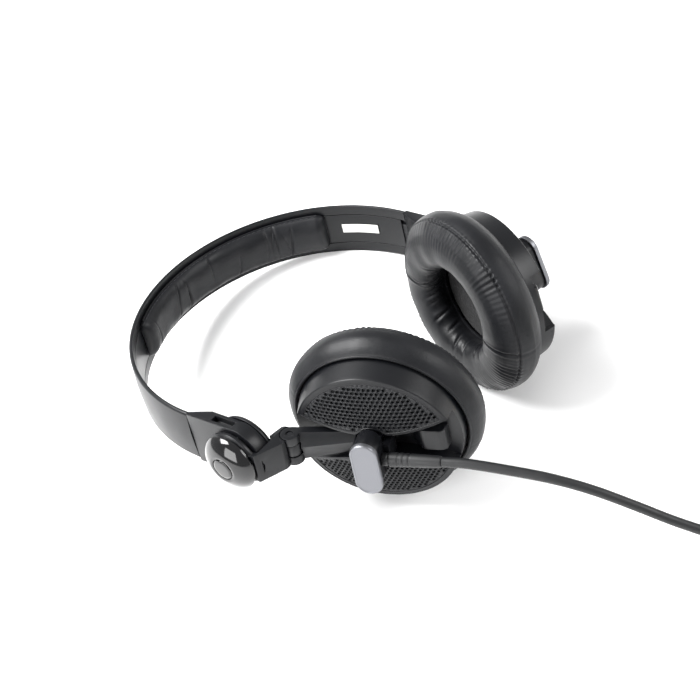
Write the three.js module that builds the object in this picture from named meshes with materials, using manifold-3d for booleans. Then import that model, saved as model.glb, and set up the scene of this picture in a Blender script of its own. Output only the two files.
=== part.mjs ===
// Closed headphones with swinging ear cups, lying on a table. Millimetres, +Z up.
//
// The headband has a frame of its own: origin at the centre of its arc, X towards the right cup,
// Y towards the crown, Z across the band's width. Each side is drawn once, as the right side,
// and mirrored in X for the left.
import * as THREE from 'three';
import { mergeVertices } from 'three/addons/utils/BufferGeometryUtils.js';
import Module from 'manifold-3d';

const wasm = await Module();
wasm.setup();

const rad = THREE.MathUtils.degToRad;
const GAP = 0.3; // between pieces that touch
const SLIP = 0.5; // between pieces that move past each other
const sides = { small: 12, medium: 20, large: 32, band: 72 }; // flats round a revolved piece

// ---- driving dimensions -------------------------------------------------------------------

const band = { radius: 88.5, thick: 2.8, web: 1.3, width: 28.8, lip: 5.4, crown: 0.7, chamfer: 1.6 };
const spring = { thick: 0.4, width: 11, halfAngle: 58 };
const liner = { thick: 0.5, halfAngle: 88 };
const pad = { from: -30, to: 58.5, width: 20, thick: 6.2 };
const label = { from: 64.2, to: 77.9, low: -2, high: 3.1, thick: 0.25 };
const slider = { thick: 0.5, width: 12, from: 62, to: 100 };

const pivot = { x: band.radius - 1.5, drop: 28.5, boltRadius: 3, boltHead: 3.9 };
const housing = { thick: 7.2, outer: band.radius - 0.6, endRadius: 15.6, flareLength: 11 };
const slot = { length: 13, width: 3.4, depth: 4 };
const rearCap = { radius: 16, thick: 3.4 };
const washer = { outer: 8.5, thick: 0.5 };
const knuckle = { radius: 14.5, thick: 3, width: 16 };
const dome = { radius: 14.6, height: 6.9, rim: 1.4, recess: 7.4, recessDepth: 3.2, buttonRadius: 5.8 };
const fold = { x: -15.5, y: -19.8, barrel: 4.5, pin: 1.6 };

const arm = { hubX: -3.7, hubY: -38.6, rootWidth: 16, tipWidth: 12.4, thick: 6.6, root: 1.8, tip: -3.4 };
const boss = { halfLength: 13.6, halfWidth: 5.6, top: 14.4, cheek: 3, cheekWidth: 9.6 };
const block = { x: 7.2, y: 10, z: 8.8, stub: 2.2, stubReach: 2.2 };
const badge = { halfLength: 14.7, halfWidth: 6.5, thick: 2.6, bevel: 0.7 };

const shell = { back: 8, face: 20.7, backRadius: 39.9, faceRadius: 38.2, bezel: 2, wall: 2, dome: 5.6 };
const trough = { floor: 14, half: 7.5, flare: 8, hubRadius: 10.6, lip: 1.7, skin: 1.6 };
const tongue = { from: -33, to: -15, width: 12.4, top: 20 };
const grille = { thick: 1.1, sink: 0.9, edge: 0.35 };
const hub = { height: 24, earWidth: 9.2, earThick: 3, earTop: 3.2 };
const cushion = { radius: 46.6, front: -12.5, hole: 20.8, skirtEnd: 9.2, seat: 2.4 };
const baffle = { radius: 37.4, thick: 1.8, at: 5.7 };
const ring = { outer: 38.6, inner: 25.4, thick: 1.8, at: 3.4 };
const relief = { x: 9.1, collar: 3, collarLength: 2.4, sleeve: 3.3, tip: 2.75, length: 27.4 };
const cord = { radius: 2.35, sides: 8, step: 6 };
const coil = { x: 37.2, y: -238.5, inner: 17.4, outer: 36.5, bottom: 0.95, top: 20 };
const tie = { angle: 20, width: 9, thick: 0.6 };
const plug = {
  boot: 22, bootRadius: 4.2, sleeve: 30, sleeveRadius: 5.6,
  collar: 9, collarRadius: 5.2, jack: 30, jackRadius: 3.15,
};
const driver = { radius: 20, magnetRadius: 11.5, magnetThick: 2.8, felt: 23.4 };

// How each side is held: swing about the dome, spread of the arm, tilt and roll of the cup.
const poses = {
  left: { side: -1, swing: rad(-2), spread: rad(22.8), tilt: 0, roll: rad(4) },
  right: { side: 1, swing: rad(13), spread: rad(11), tilt: rad(7), roll: rad(6) },
};

// ---- materials ----------------------------------------------------------------------------

function finish(color, roughness, metalness = 0) {
  return new THREE.MeshStandardMaterial({ color, roughness, metalness });
}
const satin = finish(0x1c1d20, 0.42);
const gloss = finish(0x101114, 0.16);
const matt = finish(0x17181a, 0.62);
const leather = finish(0x1d1e21, 0.55);
const steel = finish(0xa9abb0, 0.32, 1);
const silver = finish(0xc3c4c8, 0.3, 0.9);
const paper = finish(0xe9e9e6, 0.7);
const cloth = finish(0x0d0d0f, 0.9);
const film = finish(0xb9b6a8, 0.35);
const rubber = finish(0x202124, 0.6);
const brass = finish(0xc9a24a, 0.28, 1);

// ---- geometry helpers ---------------------------------------------------------------------

// One closed, outward-facing geometry with shared vertices and no empty triangles.
function closed(geometry) {
  const bare = geometry.index ? geometry.toNonIndexed() : geometry.clone();
  bare.deleteAttribute('normal');
  bare.deleteAttribute('uv');
  const merged = mergeVertices(bare, 1e-4);
  const place = merged.attributes.position;
  const corner = (i) => new THREE.Vector3().fromBufferAttribute(place, i);
  const kept = [];
  let volume = 0;
  for (let i = 0; i < merged.index.count; i += 3) {
    const [a, b, c] = [0, 1, 2].map((k) => merged.index.getX(i + k));
    if (a === b || b === c || c === a) continue;
    kept.push(a, b, c);
    volume += corner(a).dot(corner(b).cross(corner(c)));
  }
  if (volume < 0) kept.reverse();
  merged.setIndex(kept);
  return merged;
}

function solid(geometry) {
  const ready = closed(geometry);
  const vertProperties = new Float32Array(ready.attributes.position.array);
  const triVerts = new Uint32Array(ready.index.array);
  return new wasm.Manifold(new wasm.Mesh({ numProp: 3, vertProperties, triVerts }));
}

function surface(manifold) {
  const mesh = manifold.getMesh();
  const geometry = new THREE.BufferGeometry();
  geometry.setAttribute('position', new THREE.BufferAttribute(new Float32Array(mesh.vertProperties), 3));
  geometry.setIndex(new THREE.BufferAttribute(new Uint32Array(mesh.triVerts), 1));
  return geometry;
}

// Start from the first geometry, join those in add, then cut away those in cut.
function carve(base, { add = [], cut = [], keep = [] } = {}) {
  let body = solid(base);
  for (const part of add) body = body.add(solid(part));
  for (const part of cut) body = body.subtract(solid(part));
  for (const part of keep) body = body.intersect(solid(part));
  return surface(body);
}

// A revolved solid about X: the profile is a list of [along X, radius].
function turned(profile, segments = sides.medium) {
  const points = profile.map(([along, radius]) => new THREE.Vector2(radius, along));
  return new THREE.LatheGeometry(points, segments).rotateZ(-Math.PI / 2);
}

// A revolved solid about Z: the profile is a list of [radius, along Z], closed on itself.
function hooped(profile, segments = sides.band) {
  const points = [...profile, profile[0]].map(([radius, along]) => new THREE.Vector2(radius, along));
  return new THREE.LatheGeometry(points, segments).rotateX(Math.PI / 2);
}

function disc(from, to, radius, inner = 0, segments = sides.medium) {
  if (inner === 0) return turned([[from, 0], [from, radius], [to, radius], [to, 0]], segments);
  const loop = [[from, inner], [from, radius], [to, radius], [to, inner], [from, inner]];
  return turned(loop, segments);
}

function rodZ(x, y, radius, length, segments = sides.small) {
  return new THREE.CylinderGeometry(radius, radius, length, segments).rotateX(Math.PI / 2).translate(x, y, 0);
}

function rodY(x, radius, length, segments = sides.small) {
  return new THREE.CylinderGeometry(radius, radius, length, segments).translate(x, 0, 0);
}

function box(x0, x1, y0, y1, z0, z1) {
  const size = [x1 - x0, y1 - y0, z1 - z0];
  return new THREE.BoxGeometry(...size).translate((x0 + x1) / 2, (y0 + y1) / 2, (z0 + z1) / 2);
}

// An outline of [y, z] points pushed along X.
function pushedX(outline, from, to) {
  const shape = new THREE.Shape(outline.map(([y, z]) => new THREE.Vector2(y, z)));
  const geometry = new THREE.ExtrudeGeometry(shape, { depth: to - from, bevelEnabled: false });
  return geometry.rotateX(Math.PI / 2).rotateZ(Math.PI / 2).translate(from, 0, 0);
}

// An outline of [x, y] points pushed along Z, centred on Z = 0.
function pushedZ(outline, width) {
  const shape = new THREE.Shape(outline.map(([x, y]) => new THREE.Vector2(x, y)));
  const geometry = new THREE.ExtrudeGeometry(shape, { depth: width, bevelEnabled: false });
  return geometry.translate(0, 0, -width / 2);
}

// Points of a capsule outline, long in Z, in the YZ plane.
function capsule(halfLength, halfWidth, steps = 8) {
  const points = [];
  for (const end of [1, -1]) {
    for (let i = 0; i <= steps; i += 1) {
      const turn = (Math.PI * i) / steps + (end > 0 ? 0 : Math.PI);
      points.push([halfWidth * Math.cos(turn), end * (halfLength - halfWidth) + halfWidth * Math.sin(turn)]);
    }
  }
  return points;
}

// A wedge that covers the arc between two angles, measured from the crown towards the right.
function wedge(from, to) {
  const reach = band.radius * 2;
  const points = [[0, 0]];
  for (let i = 0; i <= 8; i += 1) {
    const turn = rad(from + ((to - from) * i) / 8);
    points.push([reach * Math.sin(turn), reach * Math.cos(turn)]);
  }
  return pushedZ(points, band.width * 2);
}

function mirrored(geometry) {
  return closed(geometry.clone().scale(-1, 1, 1));
}

function place(group, name, geometry, material) {
  const mesh = new THREE.Mesh(closed(geometry), material);
  mesh.name = name;
  group.add(mesh);
  return mesh;
}

// ---- headband -----------------------------------------------------------------------------

const bandInner = band.radius - band.thick;
const channel = band.radius - band.web; // inner face of the band's web
const channelHalf = band.width / 2 - band.lip;

function bandPiece(profile, from, to) {
  const middle = (from + to) / 2;
  const halves = [wedge(from, middle + 0.01), wedge(middle - 0.01, to)];
  return carve(surface(solid(halves[0]).add(solid(halves[1]))), { keep: [hooped(profile)] });
}

function strip(outer, thick, width, from, to) {
  const half = width / 2;
  return bandPiece([[outer - thick, -half], [outer, -half], [outer, half], [outer - thick, half]], from, to);
}

const springOuter = channel - GAP;
const linerOuter = springOuter - spring.thick - GAP;

function headPad() {
  const back = bandInner - GAP;
  const half = pad.width / 2;
  const profile = [
    [back, -half],
    [back, half],
    [back - pad.thick * 0.35, half + 0.6],
    [back - pad.thick * 0.85, half - 2.5],
    [back - pad.thick, half - 6],
    [back - pad.thick, -half + 6],
    [back - pad.thick * 0.85, -half + 2.5],
    [back - pad.thick * 0.35, -half - 0.6],
  ];
  return bandPiece(profile, pad.from, pad.to);
}

function headband(group) {
  const edge = band.width / 2;
  const shoulder = band.radius - band.crown;
  const profile = [
    [bandInner, -edge + 0.4],
    [bandInner + 0.4, -edge],
    [shoulder - band.chamfer, -edge],
    [shoulder, -edge + band.chamfer],
    [band.radius, -edge / 2],
    [band.radius, edge / 2],
    [shoulder, edge - 0.8],
    [shoulder - 0.8, edge],
    [bandInner + 0.4, edge],
    [bandInner, edge - 0.4],
    [bandInner, channelHalf],
    [channel, channelHalf],
    [channel, -channelHalf],
    [bandInner, -channelHalf],
  ];
  place(group, 'headband_shell', bandPiece(profile, -90, 90), satin);
  const springGeometry = strip(springOuter, spring.thick, spring.width, -spring.halfAngle, spring.halfAngle);
  place(group, 'headband_spring', springGeometry, steel);
  const linerWidth = 2 * channelHalf - 2 * GAP;
  const linerGeometry = strip(linerOuter, liner.thick, linerWidth, -liner.halfAngle, liner.halfAngle);
  place(group, 'headband_liner', linerGeometry, gloss);
  place(group, 'head_pad', headPad(), leather);
  const low = [bandInner - GAP - label.thick, label.low];
  const high = [bandInner - GAP, label.high];
  const labelProfile = [[low[0], low[1]], [high[0], low[1]], [high[0], high[1]], [low[0], high[1]]];
  place(group, 'rating_label', bandPiece(labelProfile, label.from, label.to), paper);
}

// ---- what each side carries at the band's end ---------------------------------------------

// Frames of one side: the band's own, the swing about the dome, the arm and the cup.
function sideFrames(group, pose) {
  const { side } = pose;
  const swing = new THREE.Group();
  swing.position.set(side * pivot.x, -pivot.drop, 0);
  swing.rotation.x = -pose.swing;
  const reach = new THREE.Group();
  reach.position.set(side * fold.x, fold.y, 0);
  reach.rotation.z = -side * pose.spread;
  const gimbal = new THREE.Group();
  gimbal.position.set(side * arm.hubX, arm.hubY, 0);
  gimbal.rotation.y = side * pose.roll;
  const cup = new THREE.Group();
  cup.rotation.z = -side * pose.tilt;
  const cupCentre = new THREE.Group();
  cupCentre.position.x = -side * hub.height;
  group.add(swing);
  swing.add(reach);
  reach.add(gimbal);
  gimbal.add(cup);
  cup.add(cupCentre);
  return { side, base: group, swing, reach, gimbal, cup: cupCentre };
}

function sidePlacer(frames) {
  const prefix = frames.side > 0 ? 'right_' : 'left_';
  return (frame, name, geometry, material) => {
    const shaped = frames.side > 0 ? geometry : mirrored(geometry);
    return place(frames[frame], prefix + name, shaped, material);
  };
}

// The housing's outline from the band's end down round the pivot, in the YZ plane.
function housingOutline(radius, top, half) {
  const points = [[top, -half], [top, half], [-pivot.drop * 0.5, half + 0.2]];
  const steps = 16;
  for (let i = 0; i <= steps; i += 1) {
    const turn = rad(78) - (rad(156) * i) / steps;
    points.push([-pivot.drop - radius * Math.cos(turn), radius * Math.sin(turn)]);
  }
  points.push([-pivot.drop * 0.5, -half - 0.2]);
  return points;
}

function pivotHousing() {
  const inner = housing.outer - housing.thick;
  const half = band.width / 2;
  const body = pushedX(housingOutline(housing.endRadius, -GAP, half), inner, housing.outer);
  const slotFrom = -pivot.drop + 1;
  const slotMiddle = (inner + housing.outer) / 2;
  const slotBox = box(
    slotMiddle - slot.width / 2, slotMiddle + slot.width / 2,
    slotFrom, slotFrom + slot.length,
    half + 1.2 - slot.depth, half + 3,
  );
  const taper = pushedZ([
    [inner - 1, 1], [bandInner, 1], [bandInner, -GAP], [inner, -housing.flareLength],
    [inner - 1, -housing.flareLength],
  ], band.width * 2);
  const bore = disc(-2, 12, pivot.boltRadius + SLIP).translate(inner, -pivot.drop, 0);
  const headPocket = disc(-1, 2.6, pivot.boltHead + SLIP).translate(inner, -pivot.drop, 0);
  const pocketOuter = springOuter + GAP;
  const pocketInner = pocketOuter - slider.thick - 2 * GAP;
  const pocketHalf = slider.width / 2 + GAP;
  const pocketProfile = [
    [pocketInner, -pocketHalf], [pocketOuter, -pocketHalf], [pocketOuter, pocketHalf],
    [pocketInner, pocketHalf],
  ];
  const pocket = bandPiece(pocketProfile, 85, slider.to + 1);
  return carve(body, { cut: [slotBox, taper, bore, headPocket, pocket] });
}

function pivotStack(put) {
  const inner = housing.outer - housing.thick;
  const lower = (geometry) => geometry.translate(0, -pivot.drop, 0);
  put('base', 'slider_strip', strip(springOuter, slider.thick, slider.width, slider.from, slider.to), steel);
  put('base', 'pivot_housing', pivotHousing(), satin);
  const cap = [
    [-rearCap.thick, 0], [-rearCap.thick, rearCap.radius - 3], [-rearCap.thick + 1, rearCap.radius - 1],
    [-1.2, rearCap.radius], [0, rearCap.radius], [0, 0],
  ];
  put('base', 'pivot_rear_cap', lower(turned(cap).translate(inner - GAP, 0, 0)), satin);
  const washerAt = housing.outer + GAP;
  put('base', 'wave_washer', lower(disc(washerAt, washerAt + washer.thick, washer.outer, 3.5)), steel);
}

const knuckleFace = housing.outer + 2 * GAP + washer.thick - pivot.x; // inner face, from the pivot frame

function knuckleBody() {
  const outer = knuckleFace + knuckle.thick;
  const half = knuckle.width / 2;
  const capBack = housing.outer - housing.thick - GAP - rearCap.thick - pivot.x - SLIP;
  const capRoom = disc(capBack, knuckleFace - GAP, rearCap.radius + SLIP, 0, sides.large);
  const head = turned([
    [knuckleFace, 0], [knuckleFace, knuckle.radius - 0.5], [knuckleFace + 0.5, knuckle.radius],
    [outer - 1.2, knuckle.radius], [outer, knuckle.radius - 1.2], [outer, 0],
  ], sides.medium);
  const barrelOut = fold.x + fold.barrel;
  const neckSide = [
    [outer - 0.2, -8], [outer - 0.2, -14.6], [barrelOut + 3.4, fold.y - 0.6], [barrelOut - 1, fold.y - 3.4],
    [fold.x - fold.barrel + 0.6, fold.y - 3.4], [fold.x - fold.barrel + 0.6, fold.y + 2],
    [fold.x - fold.barrel + 2, -13], [knuckleFace, -9],
  ];
  const neck = pushedZ(neckSide, knuckle.width);
  const flanks = pushedX([[-6, -half + 2.4], [-6, half - 2.4], [-15, half], [-30, half - 0.6],
    [-30, -half + 0.6], [-15, -half]], fold.x - 12, outer + 1);
  const neckShaped = carve(neck, { keep: [flanks] });
  const barrelRoom = rodZ(fold.x, fold.y, fold.barrel + SLIP, knuckle.width * 2, sides.small);
  const sweep = box(fold.x - 12, knuckleFace + 8, fold.y - 12, fold.y - fold.barrel * 0.2, -20, 20);
  const bareNeck = carve(neckShaped, {
    cut: [barrelRoom, sweep, capRoom],
  });
  const tongueHalf = knuckle.width / 2 - 5;
  const tongueBody = carve(rodZ(fold.x, fold.y, fold.barrel - 0.2, 2 * tongueHalf), {
    add: [box(fold.x - 3, fold.x + 3, fold.y, fold.y + fold.barrel + 1.2, -tongueHalf, tongueHalf)],
    cut: [capRoom],
  });
  const boltHole = disc(knuckleFace - 1, outer + 1, pivot.boltRadius + GAP);
  const pinHole = rodZ(fold.x, fold.y, fold.pin + GAP, knuckle.width * 2);
  return carve(head, { add: [bareNeck, tongueBody], cut: [boltHole, pinHole] });
}

function swingStack(put) {
  const outer = knuckleFace + knuckle.thick;
  put('swing', 'knuckle', knuckleBody(), satin);
  const domeBase = outer + GAP;
  const apex = domeBase + dome.height;
  const profile = [[domeBase, dome.radius - 0.8], [domeBase + dome.rim, dome.radius]];
  for (let i = 1; i <= 5; i += 1) {
    const turn = (Math.PI / 2) * (i / 5);
    const along = domeBase + dome.rim + (dome.height - dome.rim) * Math.sin(turn);
    const radius = dome.buttonRadius + (dome.radius - dome.buttonRadius) * Math.cos(turn);
    profile.push([along, radius]);
  }
  const seat = apex - 1.2;
  const buttonSeat = dome.buttonRadius - 0.01;
  profile.push([seat, buttonSeat], [seat, 0]);
  const ceiling = domeBase + dome.recessDepth;
  const cap = turned([[ceiling, 0], [ceiling, dome.recess], [domeBase, dome.recess],
    ...profile], sides.medium);
  put('swing', 'dome_cap', cap, gloss);
  const button = turned([
    [seat + GAP, 0], [seat + GAP, dome.buttonRadius - GAP - 0.2], [apex - 0.2, dome.buttonRadius - GAP - 0.2],
    [apex + 0.3, dome.buttonRadius - 1.4], [apex + 0.5, 0],
  ]);
  put('swing', 'dome_button', button, gloss);
  const headAt = housing.outer - housing.thick - pivot.x + GAP;
  const tip = domeBase + dome.recessDepth - GAP;
  const bolt = turned([
    [headAt, 0], [headAt, pivot.boltHead], [headAt + 2, pivot.boltHead], [headAt + 2, pivot.boltRadius],
    [tip, pivot.boltRadius], [tip, 0],
  ], sides.small);
  put('swing', 'pivot_bolt', bolt, steel);
  const nutHole = disc(domeBase - 1, tip + 1, pivot.boltRadius + GAP, 0, sides.small);
  const nut = carve(disc(domeBase + 0.2, tip - 0.2, dome.recess - 1.2, 0, 6), { cut: [nutHole] });
  put('swing', 'pivot_nut', nut, steel);
  put('swing', 'fold_pin', rodZ(fold.x, fold.y, fold.pin, knuckle.width - 1), steel);
}

// ---- arm, boss and badge ------------------------------------------------------------------

function armBody() {
  const { hubX, hubY, thick } = arm;
  const rootHalf = arm.rootWidth / 2;
  const tipHalf = arm.tipWidth / 2;
  const sideView = [
    [fold.barrel, 0], [arm.root, -4], [arm.tip, hubY + 12], [arm.tip, hubY + 3],
    [arm.tip - thick + 1.4, hubY + 3], [arm.tip - thick + 1, hubY + 12],
    [-fold.barrel, -3], [-fold.barrel, 0],
  ];
  const frontView = [[2, -rootHalf], [2, rootHalf], [-6, rootHalf], [hubY + 14, tipHalf], [hubY, tipHalf],
    [hubY, -tipHalf], [hubY + 14, -tipHalf], [-6, -rootHalf]];
  const bar = carve(pushedZ(sideView, arm.rootWidth * 2),
    { keep: [pushedX(frontView, -30, 30), armRoof(rootHalf)] });
  const barrel = rodZ(0, 0, fold.barrel, arm.rootWidth, sides.medium);
  const bossFoot = hub.earTop + 1.6;
  const bossTop = pushedX(capsule(boss.halfLength, boss.halfWidth), bossFoot, boss.top)
    .translate(hubX, hubY, 0);
  const cheekHalf = boss.cheekWidth / 2;
  const cheekInner = block.y / 2 + SLIP;
  const cheekOuter = cheekInner + boss.cheek;
  const cheeks = [1, -1].map((end) => {
    const [near, far] = [end * cheekInner, end * cheekOuter].sort((a, b) => a - b);
    return box(hubX - 4.6, hubX + bossFoot + 1, hubY + near, hubY + far, -cheekHalf, cheekHalf);
  });
  const tongueHalf = knuckle.width / 2 - 5 + SLIP;
  const tongueRoom = rodZ(0, 0, fold.barrel + SLIP, 2 * tongueHalf, sides.medium);
  const tongueWay = box(-fold.barrel - 1, fold.barrel + 1, 0, fold.barrel + 4, -tongueHalf, tongueHalf);
  const pinHole = rodZ(0, 0, fold.pin + GAP, arm.rootWidth * 2);
  const stubRoom = block.y + 2 * (block.stubReach + GAP);
  const stubHole = rodY(hubX, block.stub + GAP, stubRoom).translate(0, hubY, 0);
  const blockRoom = box(hubX - 8, hubX + bossFoot, hubY - cheekInner, hubY + cheekInner, -9, 9);
  return carve(bar, {
    add: [barrel, bossTop, ...cheeks],
    cut: [tongueRoom, tongueWay, pinHole, stubHole, blockRoom],
  });
}

// The arm's outer face is a shallow roof: two flats that meet along a ridge.
function armRoof(half) {
  const slope = (arm.root - arm.tip) / (-4 - (arm.hubY + 12));
  const drop = 2.4;
  const reach = 60;
  const outline = [[-20, -half - 1], [-drop, -half - 1], [-drop, -half], [0, 0.8],
    [-drop, half], [-drop, half + 1],
    [-20, half + 1]];
  const shape = new THREE.Shape(outline.map(([x, z]) => new THREE.Vector2(x, z)));
  const roof = new THREE.ExtrudeGeometry(shape, { depth: reach, bevelEnabled: false });
  roof.rotateX(Math.PI / 2).translate(arm.root + 4 * slope, 6, 0);
  return roof.applyMatrix4(new THREE.Matrix4().set(1, slope, 0, 0, 0, 1, 0, 0, 0, 0, 1, 0, 0, 0, 0, 1));
}

function armStack(put) {
  put('reach', 'arm', armBody(), satin);
  const face = boss.top + GAP;
  const outline = new THREE.Shape(
    capsule(badge.halfLength - badge.bevel, badge.halfWidth - badge.bevel)
    .map(([y, z]) => new THREE.Vector2(y, z)),
  );
  const plate = new THREE.ExtrudeGeometry(outline, {
    depth: badge.thick - badge.bevel, bevelEnabled: true, bevelSegments: 1,
    bevelThickness: badge.bevel, bevelSize: badge.bevel,
  });
  plate.translate(0, 0, badge.bevel).rotateX(Math.PI / 2).rotateZ(Math.PI / 2);
  const cutBack = box(-2, badge.bevel, -20, 20, -20, 20);
  const flatBacked = carve(plate, { cut: [cutBack] });
  flatBacked.translate(arm.hubX + face - badge.bevel, arm.hubY, 0);
  put('reach', 'badge', flatBacked, silver);
}

function gimbalBlock(put) {
  const stubY = rodY(0, block.stub, block.y + 2 * block.stubReach);
  const stubZ = rodZ(0, 0, block.stub, block.z + 2 * block.stubReach);
  const body = box(-block.x / 2, block.x / 2, -block.y / 2, block.y / 2, -block.z / 2, block.z / 2);
  put('gimbal', 'gimbal_block', carve(body, { add: [stubY, stubZ] }), steel);
}

// ---- ear cup ------------------------------------------------------------------------------

// Half height of the trough across the cup's face at a given distance from its middle.
function troughHalf(y, extra = 0) {
  const share = Math.min(Math.abs(y) / shell.faceRadius, 1.2);
  return trough.half + trough.flare * share * share + extra;
}

function troughPrism(from, to, extra = 0) {
  const points = [];
  const reach = shell.backRadius + 8;
  const steps = 10;
  for (let i = 0; i <= steps; i += 1) {
    const y = -reach + (2 * reach * i) / steps;
    points.push([y, troughHalf(y, extra)]);
  }
  for (let i = steps; i >= 0; i -= 1) {
    const y = -reach + (2 * reach * i) / steps;
    points.push([y, -troughHalf(y, extra)]);
  }
  return carve(pushedX(points, from, to), { add: [disc(from, to, trough.hubRadius + extra)] });
}

function shellRadius(at) {
  const share = (at - shell.back) / (shell.face - shell.back);
  return shell.backRadius + (shell.faceRadius - shell.backRadius) * share;
}

const windowRadius = shell.faceRadius - shell.bezel - 0.8;
const eyeEdge = trough.lip; // from the trough's side to the edge of a grille's window

// Points of the domed face, from the bezel to the middle, lowered by a depth.
function domedFace(depth, radius, steps = 5) {
  const points = [];
  for (let i = 0; i <= steps; i += 1) {
    const share = 1 - i / steps;
    points.push([shell.face - depth + shell.dome * (1 - share * share), radius * share]);
  }
  return points;
}

function cupShell() {
  const bezelInner = shell.faceRadius - 1.6;
  const outer = turned([
    [shell.back, 0], [shell.back, shell.backRadius], [shell.face - 1.6, shellRadius(shell.face - 1.6)],
    ...domedFace(0, bezelInner),
  ], sides.large);
  const hollow = turned([
    [shell.back - 1, 0], [shell.back - 1, shell.backRadius - shell.wall],
    ...domedFace(shell.wall, shellRadius(shell.face) - shell.wall),
  ], sides.large);
  const above = shell.face + shell.dome + 2;
  const hollowShaped = carve(hollow, { cut: [troughPrism(trough.floor - trough.skin, above, trough.skin)] });
  const windows = carve(disc(trough.floor + 2, above, windowRadius, 0, sides.large), {
    cut: [troughPrism(trough.floor, above + 1, eyeEdge)],
  });
  const body = carve(outer, { cut: [hollowShaped, troughPrism(trough.floor, above), windows] });
  const slope = pushedZ([
    [trough.floor - 0.5, tongue.from], [tongue.top - 1, tongue.from + 1.2], [tongue.top, tongue.from + 2.6],
    [tongue.top, tongue.to - 6], [trough.floor - 0.5, tongue.to],
  ], tongue.width);
  const earHalf = hub.earWidth / 2;
  const earFrom = block.z / 2 + SLIP;
  const ears = [1, -1].map((end) => {
    const [low, high] = [end * earFrom, end * (earFrom + hub.earThick)].sort((a, b) => a - b);
    return box(trough.floor - 0.5, hub.height + hub.earTop, -earHalf, earHalf, low, high);
  });
  const pinHole = rodZ(hub.height, 0, block.stub + GAP, 2 * (earFrom + hub.earThick - 0.6));
  return carve(carve(body, { add: [slope, ...ears] }), { cut: [pinHole] });
}

function grilleSheet() {
  const radius = windowRadius - grille.edge;
  const top = domedFace(grille.sink, radius, 4);
  const bottom = domedFace(grille.sink + grille.thick, radius, 4).reverse();
  const keepOut = troughPrism(trough.floor, shell.face + shell.dome + 2, eyeEdge + grille.edge);
  return carve(turned([...bottom, ...top], sides.large), { cut: [keepOut] });
}

function grilles(put) {
  const both = grilleSheet();
  const upper = carve(both, { keep: [box(0, 40, -50, 50, 0, 50)] });
  const lower = carve(both, { keep: [box(0, 40, -50, 50, -50, 0)] });
  put('cup', 'grille_upper', upper, matt);
  put('cup', 'grille_lower', lower, matt);
}

function cupInside(put) {
  const boreRadius = driver.radius + GAP;
  const plateTo = baffle.at + baffle.thick;
  put('cup', 'baffle', disc(baffle.at, plateTo, baffle.radius, boreRadius), matt);
  put('cup', 'cushion_ring', disc(ring.at, ring.at + ring.thick, ring.outer, ring.inner), matt);
  const magnetTop = trough.floor - trough.skin - GAP;
  const magnetFrom = magnetTop - driver.magnetThick;
  const frame = turned([
    [baffle.at + 0.2, driver.radius - 5.4], [baffle.at + 0.2, driver.radius], [plateTo - 0.2, driver.radius],
    [magnetFrom - GAP, driver.magnetRadius], [magnetFrom - GAP, 4], [magnetFrom - GAP - 0.8, 4],
    [baffle.at + 1.4, driver.radius - 5.4], [baffle.at + 0.2, driver.radius - 5.4],
  ]);
  put('cup', 'driver_frame', frame, satin);
  put('cup', 'driver_magnet', disc(magnetFrom, magnetTop, driver.magnetRadius, 3, sides.small), steel);
  const coneEdge = driver.radius - 5.8;
  const cone = turned([
    [baffle.at + 0.3, 0], [baffle.at - 0.3, coneEdge * 0.5], [baffle.at + 0.3, coneEdge],
    [baffle.at + 0.6, coneEdge], [baffle.at, coneEdge * 0.5], [baffle.at + 0.6, 0],
  ], sides.small);
  put('cup', 'diaphragm', cone, film);
  const feltAt = ring.at;
  put('cup', 'driver_felt', disc(feltAt, feltAt + 1, driver.felt), cloth);
}

function earCushion(put) {
  const { radius, front, hole, skirtEnd, seat } = cushion;
  const skirtInner = shell.backRadius + SLIP;
  const profile = [
    [seat, hole + 3], [front * 0.45, hole], [front * 0.85, hole + 2.6],
    [front, hole + 8], [front, radius - 12.6], [front * 0.8, radius - 5], [front * 0.4, radius - 1],
    [0, radius], [skirtEnd, radius - 4.2],
    [skirtEnd, skirtInner], [seat, skirtInner], [seat, hole + 3],
  ];
  put('cup', 'ear_cushion', turned(profile, sides.large), leather);
}

// ---- cord -------------------------------------------------------------------------------

function strainRelief() {
  const end = relief.length;
  const profile = [
    [0, 0], [relief.collar, 0], [relief.collar, relief.collarLength], [relief.tip, relief.collarLength + 0.6],
    [relief.sleeve, relief.collarLength + 1.8], [relief.sleeve, relief.collarLength + 5],
    [relief.tip, end], [0, end],
  ];
  const points = profile.map(([radius, along]) => new THREE.Vector2(radius, -along));
  const from = arm.hubY - boss.halfWidth - GAP;
  return new THREE.LatheGeometry(points, sides.small).translate(arm.hubX + relief.x, from, 0);
}

function cordTube(points) {
  const curve = new THREE.CatmullRomCurve3(points.map((p) => (p.isVector3 ? p : new THREE.Vector3(...p))));
  const section = new THREE.Shape();
  section.absarc(0, 0, cord.radius, 0, Math.PI * 2);
  const steps = Math.round(curve.getLength() / cord.step);
  return new THREE.ExtrudeGeometry(section, { steps, curveSegments: cord.sides, extrudePath: curve });
}

// From the relief's tip, in a slow fall to the table and along it to the coil's side.
function cordRoute(exit, ahead) {
  return [
    exit, ahead,
    [-37.4, -129.6, 47], [-31.8, -146, 43.6], [-26, -162, 37], [-20.3, -178, 27.5], [-14.6, -194, 17],
    [-8.9, -210, 8.6], [-4.4, -223.3, 4.2], [-1.7, -231.2, 3.4],
  ];
}

// A point beside the coil, by its angle and its distance from the coil's axis.
function besideCoil(angle, radius, height) {
  return [coil.x + radius * Math.cos(rad(angle)), coil.y + radius * Math.sin(rad(angle)), height];
}

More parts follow.
